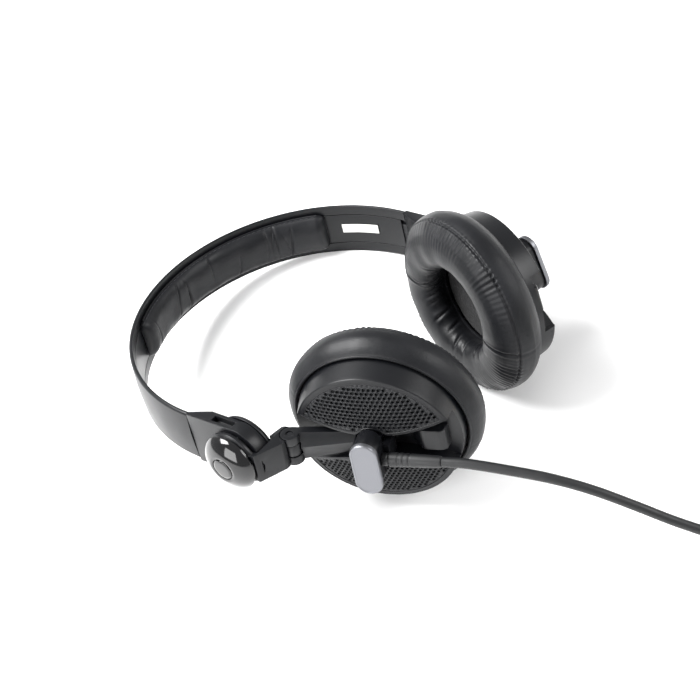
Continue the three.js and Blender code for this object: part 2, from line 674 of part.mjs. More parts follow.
function coilPieces(group) {
  const ringProfile = [
    [coil.inner, coil.bottom + 1.5], [coil.inner + 1.5, coil.bottom], [coil.outer - 1.5, coil.bottom],
    [coil.outer, coil.bottom + 1.5], [coil.outer, coil.top - 1.5], [coil.outer - 1.5, coil.top],
    [coil.inner + 1.5, coil.top], [coil.inner, coil.top - 1.5],
  ];
  place(group, 'cord_coil', hooped(ringProfile, sides.large).translate(coil.x, coil.y, 0), rubber);
  const inside = Math.sqrt(coil.inner ** 2 - (tie.width / 2) ** 2) - GAP;
  const [near, far] = [inside, coil.outer + GAP];
  const [low, high] = [coil.bottom - GAP, coil.top + GAP];
  const { thick, width } = tie;
  const outerBox = box(near - thick, far + thick, -width / 2, width / 2, low - thick, high + thick);
  const loop = carve(outerBox, { cut: [box(near, far, -width, width, low, high)] });
  place(group, 'coil_tie', loop.rotateZ(rad(tie.angle)).translate(coil.x, coil.y, 0), cloth);
}

function plugPieces(group) {
  const height = plug.sleeveRadius + 0.4;
  const tail = [
    besideCoil(214, coil.outer + cord.radius + 0.6, 17), besideCoil(232, 40.2, 14.6),
    besideCoil(252, 41.8, 11),
    besideCoil(272, 43.6, 8), besideCoil(292, 45.6, 6.4), besideCoil(309, 48, height),
  ];
  const start = new THREE.Vector3(...besideCoil(318, 50, height));
  const ahead = new THREE.Vector3(0.42, 0.9075, 0).normalize();
  tail.push(start.clone().addScaledVector(ahead, -3).toArray(), start.toArray());
  place(group, 'cord_tail', cordTube(tail), rubber);
  const bootEnd = GAP + plug.boot;
  const sleeveEnd = bootEnd + plug.sleeve;
  const collarEnd = sleeveEnd + GAP + plug.collar;
  const tip = collarEnd + plug.jack;
  const jack = plug.jackRadius;
  const pieces = {
    plug_sleeve: [
      [0, GAP], [cord.radius + 0.5, GAP], [plug.bootRadius, bootEnd], [plug.sleeveRadius - 0.5, bootEnd],
      [plug.sleeveRadius, bootEnd + 0.6], [plug.sleeveRadius, sleeveEnd - 0.5],
      [plug.sleeveRadius - 0.5, sleeveEnd], [0, sleeveEnd],
    ],
    plug_adapter: [
      [0, sleeveEnd + GAP], [plug.collarRadius, sleeveEnd + GAP], [plug.collarRadius, collarEnd - 1],
      [plug.collarRadius - 1, collarEnd], [jack, collarEnd], [jack, tip - 10.6], [jack - 0.4, tip - 10.2],
      [jack - 0.4, tip - 9.6], [jack, tip - 9.2], [jack, tip - 5.6],
      [jack - 1.2, tip - 4.2], [jack, tip - 2.6],
      [jack - 0.8, tip - 1], [jack - 2, tip], [0, tip],
    ],
  };
  const turn = Math.atan2(ahead.y, ahead.x) - Math.PI / 2;
  for (const [name, profile] of Object.entries(pieces)) {
    const points = profile.map(([radius, along]) => new THREE.Vector2(radius, along));
    const piece = new THREE.LatheGeometry(points, sides.small)
      .rotateZ(turn).translate(start.x, start.y, start.z);
    place(group, name, piece, name === 'plug_sleeve' ? rubber : brass);
  }
}

// ---- the whole, as it lies ----------------------------------------------------------------

// It lies on the rims of both cushions and on one edge of the band.
const lie = { pitch: rad(-5.28), roll: rad(11.62) };

const headphones = new THREE.Group();
const bandFrame = new THREE.Group();
bandFrame.rotation.set(lie.pitch, lie.roll, 0);
headphones.add(bandFrame);
headband(bandFrame);
const frames = {};
for (const [name, pose] of Object.entries(poses)) {
  frames[name] = sideFrames(bandFrame, pose);
  const put = sidePlacer(frames[name]);
  pivotStack(put);
  swingStack(put);
  armStack(put);
  gimbalBlock(put);
  put('cup', 'cup_shell', cupShell(), satin);
  grilles(put);
  cupInside(put);
  earCushion(put);
}
sidePlacer(frames.left)('reach', 'strain_relief', strainRelief(), rubber);

// The origin is under the middle of what has been placed so far, at table height.
const extent = new THREE.Box3().setFromObject(headphones, true);
const middle = extent.getCenter(new THREE.Vector3());
bandFrame.position.set(-middle.x, -middle.y, -extent.min.z);
headphones.updateMatrixWorld(true);

const reliefEnd = arm.hubY - boss.halfWidth - GAP - relief.length - GAP;
const cordAxis = -(arm.hubX + relief.x);
const exitPoint = frames.left.reach.localToWorld(new THREE.Vector3(cordAxis, reliefEnd, 0));
const aheadPoint = frames.left.reach.localToWorld(new THREE.Vector3(cordAxis, reliefEnd - 12, -0.3));
place(headphones, 'cord_tube', cordTube(cordRoute(exitPoint, aheadPoint)), rubber);
coilPieces(headphones);
plugPieces(headphones);

export default headphones;
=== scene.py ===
import math
import bmesh
import bpy
import numpy as np
from mathutils import Matrix


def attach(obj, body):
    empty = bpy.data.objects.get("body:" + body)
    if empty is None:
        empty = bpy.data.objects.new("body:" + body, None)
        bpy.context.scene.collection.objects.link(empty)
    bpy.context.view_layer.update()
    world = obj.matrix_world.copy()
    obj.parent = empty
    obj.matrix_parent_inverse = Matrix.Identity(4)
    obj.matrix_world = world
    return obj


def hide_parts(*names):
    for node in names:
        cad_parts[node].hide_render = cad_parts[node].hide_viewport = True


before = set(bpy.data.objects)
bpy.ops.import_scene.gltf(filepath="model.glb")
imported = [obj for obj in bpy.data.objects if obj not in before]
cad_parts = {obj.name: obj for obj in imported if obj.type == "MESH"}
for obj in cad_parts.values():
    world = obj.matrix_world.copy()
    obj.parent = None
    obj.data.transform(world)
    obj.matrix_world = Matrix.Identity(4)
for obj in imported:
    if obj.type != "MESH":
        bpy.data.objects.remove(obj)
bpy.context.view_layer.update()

rng = np.random.default_rng(7)
scene = bpy.context.scene
mm = 0.001


# places: each side hangs from the band through a pivot, a fold, a gimbal and a hub

def moveBy(x, y, z):
    m = np.eye(4)
    m[:3, 3] = (x, y, z)
    return m


def turnAbout(axis, degrees):
    # rotation matrix about one of the main axes, 0 for X, 1 for Y and 2 for Z
    c, s = math.cos(math.radians(degrees)), math.sin(math.radians(degrees))
    a, b = [(1, 2), (2, 0), (0, 1)][axis]
    m = np.eye(4)
    m[a, a] = m[b, b] = c
    m[a, b], m[b, a] = -s, s
    return m


lie = {"pitch": -5.28, "roll": 11.62, "at": (0.003, 15.142, 33.066)}
bandFrame = moveBy(*lie["at"]) @ turnAbout(0, lie["pitch"]) @ turnAbout(1, lie["roll"])
pivot = {"x": 87.0, "drop": 28.5}
foldAt = {"x": -15.5, "y": -19.8}
hubAt = {"x": -3.7, "y": -38.6, "height": 24.0}
poses = {
    "left": {"side": -1, "swing": -2.0, "spread": 22.8, "tilt": 0.0, "roll": 4.0},
    "right": {"side": 1, "swing": 13.0, "spread": 11.0, "tilt": 7.0, "roll": 6.0},
}


def sideFrames(pose):
    # the same chain of turns as the assembly's own joints at rest
    k = pose["side"]
    swing = bandFrame @ moveBy(k * pivot["x"], -pivot["drop"], 0) @ turnAbout(0, -pose["swing"])
    reach = swing @ moveBy(k * foldAt["x"], foldAt["y"], 0) @ turnAbout(2, -k * pose["spread"])
    gimbal = reach @ moveBy(k * hubAt["x"], hubAt["y"], 0) @ turnAbout(1, k * pose["roll"])
    cup = gimbal @ turnAbout(2, -k * pose["tilt"]) @ moveBy(-k * hubAt["height"], 0, 0)
    return {"swing": swing, "reach": reach, "gimbal": gimbal, "cup": cup}


frames = {name: sideFrames(pose) for name, pose in poses.items()}


def placed(points, matrix, side=1):
    # millimetres in a local frame, drawn for the right side, to metres in the common frame
    p = np.array(points, float) * (side, 1, 1)
    return (p @ matrix[:3, :3].T + matrix[:3, 3]) * mm


# camera and light helpers

camera = {"at": (-487.3, -540.1, 530.3), "right": (0.5993, -0.7749, -0.1989),
          "down": (-0.5823, -0.2521, -0.7727), "fieldOfView": 21.86}


def addCamera():
    turn = bandFrame[:3, :3]
    right = turn @ np.array(camera["right"])
    up = -(turn @ np.array(camera["down"]))
    right /= np.linalg.norm(right)
    up -= right * (up @ right)
    up /= np.linalg.norm(up)
    data = bpy.data.cameras.new("camera")
    data.sensor_width = 36
    data.lens = 18 / math.tan(math.radians(camera["fieldOfView"] / 2))
    data.clip_start = 0.01
    obj = bpy.data.objects.new("camera", data)
    scene.collection.objects.link(obj)
    matrix = np.eye(4)
    matrix[:3, 0], matrix[:3, 1], matrix[:3, 2] = right, up, np.cross(right, up)
    matrix[:3, 3] = placed([camera["at"]], bandFrame)[0]
    obj.matrix_world = Matrix(matrix.tolist())
    scene.camera = obj


def addLight(name, at, aim, size, power, color="ffffff"):
    data = bpy.data.lights.new(name, "AREA")
    data.shape = "RECTANGLE"
    data.size, data.size_y = size
    data.energy = power
    data.color = linear(color)[:3]
    obj = bpy.data.objects.new(name, data)
    scene.collection.objects.link(obj)
    away = np.array(at, float) - np.array(aim, float)
    away /= np.linalg.norm(away)
    side = np.cross((0, 0, 1), away) if abs(away[2]) < 0.99 else np.array((1.0, 0, 0))
    side /= np.linalg.norm(side)
    matrix = np.eye(4)
    matrix[:3, 0], matrix[:3, 1], matrix[:3, 2], matrix[:3, 3] = side, np.cross(away, side), away, at
    obj.matrix_world = Matrix(matrix.tolist())


def linear(code, alpha=1.0):
    # sRGB hex to linear colour
    values = np.array([int(code[i:i + 2], 16) for i in (0, 2, 4)]) / 255
    curve = np.where(values <= 0.04045, values / 12.92, ((values + 0.055) / 1.055) ** 2.4)
    return (*[float(v) for v in curve], alpha)


# mesh helpers

def addMesh(name, points, faces, material, body, smooth=True, sharp=None):
    mesh = bpy.data.meshes.new(name)
    mesh.from_pydata([], [], [])
    mesh.vertices.add(len(points))
    mesh.vertices.foreach_set("co", np.ascontiguousarray(points, dtype=np.float32).ravel())
    if isinstance(faces, list):
        counts = np.array([len(f) for f in faces])
        flat = np.concatenate([np.asarray(f).ravel() for f in faces])
    else:
        counts, flat = np.full(len(faces), faces.shape[1]), faces.ravel()
    mesh.loops.add(len(flat))
    mesh.loops.foreach_set("vertex_index", flat.astype(np.int32))
    mesh.polygons.add(len(counts))
    starts = np.concatenate([[0], np.cumsum(counts)[:-1]]).astype(np.int32)
    mesh.polygons.foreach_set("loop_start", starts)
    mesh.update(calc_edges=True)
    mesh.validate()
    if smooth:
        mesh.polygons.foreach_set("use_smooth", np.ones(len(mesh.polygons), bool))
    if sharp is not None:
        mesh.set_sharp_from_angle(angle=math.radians(sharp))
    mesh.materials.append(material)
    obj = bpy.data.objects.new(name, mesh)
    scene.collection.objects.link(obj)
    if body:
        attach(obj, body)
    return obj


def gridFaces(rows, columns, closeRows=False, closeColumns=False, flip=False):
    # quads between the points of a rows by columns grid
    r = np.arange(rows if closeRows else rows - 1)
    c = np.arange(columns if closeColumns else columns - 1)
    i, j = [a.ravel() for a in np.meshgrid(r, c, indexing="ij")]
    i2, j2 = (i + 1) % rows, (j + 1) % columns
    quads = np.stack([i * columns + j, i2 * columns + j, i2 * columns + j2, i * columns + j2], 1)
    return quads[:, ::-1] if flip else quads


def rounded(corners, radius=0.6, steps=4, closed=False):
    # a polyline whose corners are cut back and bent round, as a quadratic curve; radius may be a list
    p = np.array(corners, float)
    n = len(p)
    radii = np.full(n, radius, float) if np.isscalar(radius) else np.array(radius, float)
    out = []
    for i in range(n):
        if not closed and i in (0, n - 1):
            out.append(p[i:i + 1])
            continue
        a, b, c = p[i - 1], p[i], p[(i + 1) % n]
        la, lc = np.linalg.norm(a - b), np.linalg.norm(c - b)
        cut = min(radii[i], la * 0.48, lc * 0.48)
        if cut < 1e-4:
            out.append(p[i:i + 1])
            continue
        s, e = b + (a - b) * cut / la, b + (c - b) * cut / lc
        t = np.linspace(0, 1, steps + 1)[:, None]
        out.append((1 - t) ** 2 * s + 2 * t * (1 - t) * b + t ** 2 * e)
    return np.concatenate(out)


def flowing(corners, count, closed=False):
    # a smooth curve through the corners, by Catmull and Rom's rule, with count points evenly along it
    p = np.array(corners, float)
    n = len(p)
    spans = n if closed else n - 1
    t = np.linspace(0, 1, 24, endpoint=False)[:, None]
    parts = []
    for i in range(spans):
        a, b, c, d = [p[(i + k) % n] if closed else p[min(max(i + k, 0), n - 1)] for k in (-1, 0, 1, 2)]
        parts.append(0.5 * (2 * b + (c - a) * t + (2 * a - 5 * b + 4 * c - d) * t ** 2
                            + (3 * b - a - 3 * c + d) * t ** 3))
    line = np.concatenate(parts + ([p[:1]] if closed else [p[-1:]]))
    lengths = np.concatenate([[0], np.cumsum(np.linalg.norm(np.diff(line, axis=0), axis=1))])
    at = np.linspace(0, lengths[-1], count + 1 if closed else count)
    even = np.stack([np.interp(at, lengths, line[:, k]) for k in range(p.shape[1])], 1)
    return even[:-1] if closed else even


def turnedShape(profile, segments=128):
    # a profile of (along X, radius) turned about X: point(u, v) = (along v, radius v cos u, radius v sin u)
    turn = np.linspace(0, 2 * np.pi, segments, endpoint=False)[:, None]
    along, radius = profile[:, 0][None], profile[:, 1][None]
    return np.stack([along + 0 * turn, radius * np.cos(turn), radius * np.sin(turn)], -1)


def addTurned(name, profile, matrix, side, material, body, segments=128, sharp=40, closed=False):
    # profile runs so that the outside is on its left when along grows; ends on the axis are merged
    grid = turnedShape(np.array(profile, float), segments)
    rows, columns = grid.shape[:2]
    faces = gridFaces(rows, columns, closeRows=True, closeColumns=closed, flip=side < 0)
    obj = addMesh(name, placed(grid.reshape(-1, 3), matrix, side), faces, material, body)
    mergeAndTurnOut(obj, sharp)
    return obj


def mergeAndTurnOut(obj, sharp=None, distance=1e-6):
    bm = bmesh.new()
    bm.from_mesh(obj.data)
    bmesh.ops.remove_doubles(bm, verts=bm.verts, dist=distance)
    bmesh.ops.dissolve_degenerate(bm, edges=bm.edges, dist=distance)
    bmesh.ops.recalc_face_normals(bm, faces=bm.faces)
    bm.to_mesh(obj.data)
    bm.free()
    obj.data.polygons.foreach_set("use_smooth", np.ones(len(obj.data.polygons), bool))
    if sharp is not None:
        obj.data.set_sharp_from_angle(angle=math.radians(sharp))


def tubeAlong(path, radius, sides=14):
    # rings of points round a path; each ring's axes are carried on from the last without twist
    tangent = np.gradient(path, axis=0)
    tangent /= np.linalg.norm(tangent, axis=1)[:, None]
    normal = np.cross(tangent[0], (0, 0, 1.0))
    normal /= np.linalg.norm(normal)
    normals = np.empty_like(path)
    for i in range(len(path)):  # one step per ring, because each axis depends on the last
        normal = normal - tangent[i] * (normal @ tangent[i])
        normal /= np.linalg.norm(normal)
        normals[i] = normal
    other = np.cross(tangent, normals)
    turn = np.linspace(0, 2 * np.pi, sides, endpoint=False)
    size = np.broadcast_to(radius, (len(path),))[:, None, None]
    ring = normals[:, None] * np.cos(turn)[None, :, None] + other[:, None] * np.sin(turn)[None, :, None]
    return path[:, None] + ring * size


def addTube(name, path, radius, material, body, sides=14, closed=False):
    grid = tubeAlong(path, radius, sides)
    faces = gridFaces(len(path), sides, closeRows=closed, closeColumns=True)
    faces = [*faces]
    if not closed:
        faces += [np.arange(sides), np.arange(sides)[::-1] + (len(path) - 1) * sides]
    obj = addMesh(name, grid.reshape(-1, 3), faces, material, body)
    mergeAndTurnOut(obj, 50)
    return obj


# materials

def addNode(tree, kind, links=None, **settings):
    # one node: settings are its own attributes or the values of its sockets, links join other nodes' outputs
    node = tree.nodes.new(kind)
    for key, value in settings.items():
        if hasattr(node, key):
            setattr(node, key, value)
        else:
            node.inputs[key.replace("_", " ")].default_value = value
    for key, output in (links or {}).items():
        tree.links.new(output, node.inputs[key])
    return node


def startMaterial(name, color, roughness, metallic=0.0, ior=1.5, **more):
    material = bpy.data.materials.new(name)
    material.use_nodes = True
    shader = material.node_tree.nodes["Principled BSDF"]
    shader.inputs["Base Color"].default_value = linear(color)
    shader.inputs["Roughness"].default_value = roughness
    shader.inputs["Metallic"].default_value = metallic
    shader.inputs["IOR"].default_value = ior
    for key, value in more.items():
        shader.inputs[key.replace("_", " ")].default_value = value
    material.diffuse_color = linear(color)
    return material, material.node_tree, shader


def mixColors(tree, factor, first, second):
    mix = addNode(tree, "ShaderNodeMix", data_type="RGBA")
    tree.links.new(factor, mix.inputs[0])
    mix.inputs[6].default_value, mix.inputs[7].default_value = linear(first), linear(second)
    return mix.outputs[2]


def mapRange(tree, value, fromMin, fromMax, toMin, toMax):
    node = addNode(tree, "ShaderNodeMapRange", {"Value": value}, From_Min=fromMin, From_Max=fromMax,
                   To_Min=toMin, To_Max=toMax)
    return node.outputs[0]


def objectPoint(tree):
    return addNode(tree, "ShaderNodeTexCoord").outputs["Object"]


def leatherette():
    # PVC leatherette: embossed grain of about 0.9 mm, soft sheen, slightly worn shine on the crowns
    material, tree, shader = startMaterial("leatherette", "101113", 0.46, ior=1.34, Sheen_Weight=0.04,
                                            Sheen_Roughness=0.4)
    point = objectPoint(tree)
    cells = addNode(tree, "ShaderNodeTexVoronoi", {"Vector": point}, feature="DISTANCE_TO_EDGE",
                    Scale=1 / 0.0009)
    creases = addNode(tree, "ShaderNodeTexNoise", {"Vector": point}, Scale=1 / 0.006, Detail=4.0)
    wear = addNode(tree, "ShaderNodeTexNoise", {"Vector": point}, Scale=1 / 0.02, Detail=3.0)
    tree.links.new(mapRange(tree, wear.outputs[0], 0.35, 0.7, 0.38, 0.54), shader.inputs["Roughness"])
    tree.links.new(mixColors(tree, wear.outputs[0], "0b0c0e", "15161a"), shader.inputs["Base Color"])
    fine = addNode(tree, "ShaderNodeBump", {"Height": cells.outputs[0]}, Strength=0.22, Distance=0.0002)
    broad = addNode(tree, "ShaderNodeBump", {"Height": creases.outputs[0], "Normal": fine.outputs[0]},
                    Strength=0.3, Distance=0.0006)
    tree.links.new(broad.outputs[0], shader.inputs["Normal"])
    return material


def mouldedPlastic(name, color, roughness, grain, strength, coat=0.0):
    # injection-moulded ABS: a fine mould texture, with faint cloudy changes in shine
    material, tree, shader = startMaterial(name, color, roughness, ior=1.36, Coat_Weight=coat,
                                            Coat_Roughness=0.05)
    point = objectPoint(tree)
    sparks = addNode(tree, "ShaderNodeTexNoise", {"Vector": point}, Scale=1 / (grain * mm), Detail=2.0)
    cloud = addNode(tree, "ShaderNodeTexNoise", {"Vector": point}, Scale=1 / 0.025, Detail=4.0)
    low, high = max(roughness - 0.05, 0.02), roughness + 0.06
    tree.links.new(mapRange(tree, cloud.outputs[0], 0.3, 0.7, low, high), shader.inputs["Roughness"])
    bump = addNode(tree, "ShaderNodeBump", {"Height": sparks.outputs[0]}, Strength=strength, Distance=0.00008)
    tree.links.new(bump.outputs[0], shader.inputs["Normal"])
    return material


def metalFinish(name, color, roughness, grain, strength=0.1):
    # plated or painted metal: flake or brushing seen as fine changes of shine
    material, tree, shader = startMaterial(name, color, roughness, metallic=1.0)
    point = objectPoint(tree)
    flake = addNode(tree, "ShaderNodeTexNoise", {"Vector": point}, Scale=1 / (grain * mm), Detail=3.0)
    tree.links.new(mapRange(tree, flake.outputs[0], 0.3, 0.7, roughness - 0.06, roughness + 0.08),
                   shader.inputs["Roughness"])
    bump = addNode(tree, "ShaderNodeBump", {"Height": flake.outputs[0]}, Strength=strength, Distance=0.00004)
    tree.links.new(bump.outputs[0], shader.inputs["Normal"])
    return material


def knitCloth():
    # knitted polyester over the driver: loops of about 0.8 mm, dull black
    material, tree, shader = startMaterial("knitCloth", "0c0c0e", 0.9, Sheen_Weight=0.15, Sheen_Roughness=0.5)
    point = objectPoint(tree)
    loops = addNode(tree, "ShaderNodeTexVoronoi", {"Vector": point}, Scale=1 / 0.0008)
    tree.links.new(mixColors(tree, loops.outputs[0], "17171a", "060607"), shader.inputs["Base Color"])
    bump = addNode(tree, "ShaderNodeBump", {"Height": loops.outputs[0]}, Strength=0.6, Distance=0.0003)
    tree.links.new(bump.outputs[0], shader.inputs["Normal"])
    return material


def plainSheet(name, color, roughness, scale=0.004):
    # paper, film or a cord's jacket: even, with a slight mottle
    material, tree, shader = startMaterial(name, color, roughness)
    mottle = addNode(tree, "ShaderNodeTexNoise", {"Vector": objectPoint(tree)}, Scale=1 / scale, Detail=3.0)
    tree.links.new(mapRange(tree, mottle.outputs[0], 0.3, 0.7, roughness - 0.06, roughness + 0.06),
                   shader.inputs["Roughness"])
    bump = addNode(tree, "ShaderNodeBump", {"Height": mottle.outputs[0]}, Strength=0.08, Distance=0.0002)
    tree.links.new(bump.outputs[0], shader.inputs["Normal"])
    return material


softLeatherette = leatherette()
satinAbs = mouldedPlastic("satinAbs", "0e0f12", 0.34, 0.35, 0.25)
glossAbs = mouldedPlastic("glossAbs", "060608", 0.12, 1.5, 0.04, coat=0.6)
mattAbs = mouldedPlastic("mattAbs", "121316", 0.36, 0.3, 0.4)
silverPaint = metalFinish("silverPaint", "77787c", 0.42, 0.25)
brightSteel = metalFinish("brightSteel", "b4b5b8", 0.26, 0.4)
goldPlate = metalFinish("goldPlate", "d2a850", 0.22, 0.5)
driverCloth = knitCloth()
whiteLabel = plainSheet("whiteLabel", "e6e6e2", 0.6)
clearFilm = plainSheet("clearFilm", "b2ae9c", 0.3)
cordPvc = plainSheet("cordPvc", "0f1012", 0.5)
print("materials made")


# the cord: out of the left arm's boss, down to the table, wound into a coil, and to its plug

cord = {"radius": 2.35}
reliefEnd = {"x": 9.1, "y": -38.6 - 5.6 - 0.3 - 27.4 - 0.3}
coil = {"x": 37.2, "y": -238.5, "outer": 34.0, "pitch": 4.7, "layers": 4, "low": 3.35, "shift": 40.0,
        "start": 199.6}
cordFall = [
    (-37.4, -129.6, 47), (-31.8, -146, 43.6), (-26, -162, 37), (-20.3, -178, 27.5), (-14.6, -194, 17),
    (-8.9, -210, 8.6), (-4.4, -223.3, 4.2), (-1.7, -231.2, 3.4),
]
plug = {"height": 6.0, "angle": 318, "radius": 50, "ahead": (0.42, 0.9075, 0)}


def besideCoil(angle, radius, height):
    turn = math.radians(angle)
    return (coil["x"] + radius * math.cos(turn), coil["y"] + radius * math.sin(turn), height)


def coilTurns(startAngle):
    # each layer shifts a turn's width in or out per turn, and climbs before it meets its own start
    keys = [(startAngle, coil["outer"], coil["low"])]
    begin, shift, height = startAngle + 300, coil["shift"], coil["low"]
    for layer in range(coil["layers"]):
        step = -coil["pitch"] if layer % 2 == 0 else coil["pitch"]
        radius = keys[-1][1]
        for turn in range(3):
            keys.append((begin + 360 * turn, radius, height))
            radius += step
            keys.append((begin + 360 * turn + shift, radius, height))
        if layer < coil["layers"] - 1:
            keys.append((begin + 1080 - shift, radius, height))
            height += coil["pitch"]
            keys.append((begin + 1080, radius, height))
            begin += 1440 - 2 * shift
    last = startAngle + 360 * math.ceil((keys[-1][0] - startAngle) / 360)
    keys.append((last, keys[-1][1], height))
    keys = np.array(keys)
    angle = np.arange(startAngle, last, 5.0)
    low = np.clip(np.searchsorted(keys[:, 0], angle, side="right") - 1, 0, len(keys) - 2)
    part = (angle - keys[low, 0]) / (keys[low + 1, 0] - keys[low, 0])
    part = part * part * (3 - 2 * part)
    radius = keys[low, 1] + (keys[low + 1, 1] - keys[low, 1]) * part
    height = keys[low, 2] + (keys[low + 1, 2] - keys[low, 2]) * part
    turn = np.radians(angle)
    return np.stack([coil["x"] + radius * np.cos(turn), coil["y"] + radius * np.sin(turn), height], 1)


def cordPath():
    reach = frames["left"]["reach"]
    exitAt = placed([(hubAt["x"] + reliefEnd["x"], reliefEnd["y"], 0)], reach, -1)[0] / mm
    aheadAt = placed([(hubAt["x"] + reliefEnd["x"], reliefEnd["y"] - 12, -0.3)], reach, -1)[0] / mm
    turns = coilTurns(coil["start"])
    tail = [besideCoil(214, 39.45, 17), besideCoil(232, 40.2, 14.6), besideCoil(252, 41.8, 11),
            besideCoil(272, 43.6, 8), besideCoil(292, 45.6, 6.4), besideCoil(309, 48, plug["height"])]
    start = np.array(besideCoil(plug["angle"], plug["radius"], plug["height"]))
    ahead = np.array(plug["ahead"]) / np.linalg.norm(plug["ahead"])
    tail += [tuple(start - 3 * ahead), tuple(start)]
    fall = flowing([exitAt, aheadAt, *cordFall, tuple(turns[0])], 90)
    rest = flowing([tuple(turns[-1]), *tail], 60)
    return np.concatenate([fall[:-1], turns, rest[1:]]) * mm


def addCord():
    path = cordPath()
    obj = addTube("cord", path, cord["radius"] * mm, cordPvc, "left_arm", sides=14)
    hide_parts("cord_tube", "cord_coil", "cord_tail")


addCamera()
addCord()
print("camera and cord placed")


# headband

band = {"radius": 88.5, "thick": 2.8, "web": 1.3, "width": 28.8, "lip": 5.4, "crown": 0.7, "chamfer": 1.6}
bandInner = band["radius"] - band["thick"]


def addSwept(name, profile, fromAngle, toAngle, steps, material, body, nodes, sharp=35):
    # a closed profile of (radius, across) carried round the band's arc, angles from the crown to the right
    turn = np.radians(np.linspace(fromAngle, toAngle, steps))[:, None]
    profile = np.array(profile, float)
    radius, across = profile[:, 0][None], profile[:, 1][None]
    grid = np.stack([radius * np.sin(turn), radius * np.cos(turn), across + 0 * turn], -1)
    count = len(profile)
    faces = [*gridFaces(steps, count, closeColumns=True)]
    faces += [np.arange(count), np.arange(count)[::-1] + (steps - 1) * count]
    obj = addMesh(name, placed(grid.reshape(-1, 3), bandFrame), faces, material, body)
    mergeAndTurnOut(obj, sharp)
    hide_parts(*nodes)
    return obj


def addHeadband():
    edge, top, channel = band["width"] / 2, band["radius"], band["radius"] - band["web"]
    half = edge - band["lip"]
    shoulder = top - band["crown"]
    corners = [(bandInner, -edge), (shoulder - band["chamfer"], -edge), (shoulder, -edge + band["chamfer"]),
               (top, 0), (shoulder, edge - 0.8), (shoulder - 0.8, edge), (bandInner, edge),
               (bandInner, half), (channel, half), (channel, -half), (bandInner, -half)]
    radii = [0.5, 0.5, 0.7, 14, 0.7, 0.5, 0.5, 0.35, 0.4, 0.4, 0.35]
    profile = rounded(corners, radii, steps=5, closed=True)
    addSwept("headbandShell", profile, -90, 90, 241, satinAbs, "headband",
             ["headband_shell"])
    lining = channel - 0.3 - 0.4 - 0.3
    linerHalf = half - 0.3
    strip = rounded([(lining - 0.5, -linerHalf), (lining, -linerHalf), (lining, linerHalf),
                     (lining - 0.5, linerHalf)], 0.2, 3, closed=True)
    addSwept("headbandLiner", strip, -88, 88, 181, satinAbs, "headband", ["headband_liner"])


pad = {"from": -30.0, "to": 58.5, "width": 20.6, "thick": 6.2, "endRound": 5.0, "creases": 11}


def addHeadPad():
    # section(v) is a crowned D shape; it narrows to round ends, and creases cross it as narrow dips
    rows, columns = 520, 120
    back = bandInner - 0.15
    arc = np.linspace(pad["from"], pad["to"], rows)
    alongMm = np.radians(arc - pad["from"]) * back
    whole = alongMm[-1]
    endGap = np.minimum(alongMm, whole - alongMm)
    share = np.clip(endGap / pad["endRound"], 0, 1)
    endShape = np.sqrt(np.clip(1 - (1 - share) ** 2, 0.0, 1))
    half = pad["width"] / 2
    section = flowing([(0, -half + 1.0), (-0.9, -half - 0.1), (-2.3, -half - 0.35), (-3.9, -half + 0.7),
                       (-5.3, -half + 3.2), (-6.05, -half + 6.5), (-6.2, 0), (-6.05, half - 6.5),
                       (-5.3, half - 3.2), (-3.9, half - 0.7), (-2.3, half + 0.35), (-0.9, half + 0.1),
                       (0, half - 1.0), (0, 0)], columns, closed=True)
    depth, across = section[:, 0][None], section[:, 1][None]
    widthScale = 0.72 + 0.28 * endShape[:, None]
    depthScale = 0.12 + 0.88 * endShape[:, None]
    dip = np.zeros((rows, columns))
    swell = np.zeros((rows, columns))
    places = np.sort(rng.uniform(0.06, 0.94, pad["creases"])) * whole
    for place in places:
        slant, bow = rng.uniform(-0.25, 0.25), rng.uniform(-0.02, 0.02)
        line = place + slant * across + bow * across ** 2
        gap = alongMm[:, None] - line
        deep = rng.uniform(0.25, 0.65)
        reach = 0.5 + 0.5 * np.tanh((across * rng.choice([-1, 1]) + rng.uniform(2, 9)) / 3)
        dip += deep * np.exp(-(gap / 0.55) ** 2) * reach
        swell += 0.18 * deep * np.exp(-((np.abs(gap) - 1.6) / 1.1) ** 2) * reach
    soft = 0.14 * np.sin(alongMm[:, None] / 6.1 + 0.16 * across) \
        + 0.1 * np.sin(alongMm[:, None] / 2.7 - 0.3 * across)
    front = np.clip((-depth - 1.6) / 2.5, 0, 1)
    seam = 0.4 * np.exp(-((depth + 1.55) / 0.28) ** 2) * (np.abs(across) > half - 2.5)
    radius = back + depth * depthScale + front * (dip - swell - soft) * depthScale
    wide = across * widthScale * (1 - 0.02 * front) - np.sign(across) * seam
    turn = np.radians(arc)[:, None]
    grid = np.stack([radius * np.sin(turn), radius * np.cos(turn), wide], -1)
    faces = [*gridFaces(rows, columns, closeColumns=True)]
    faces += [np.arange(columns), np.arange(columns)[::-1] + (rows - 1) * columns]
    obj = addMesh("headPad", placed(grid.reshape(-1, 3), bandFrame), faces, softLeatherette, "headband")
    mergeAndTurnOut(obj)
    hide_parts("head_pad")
    return whole, back, half


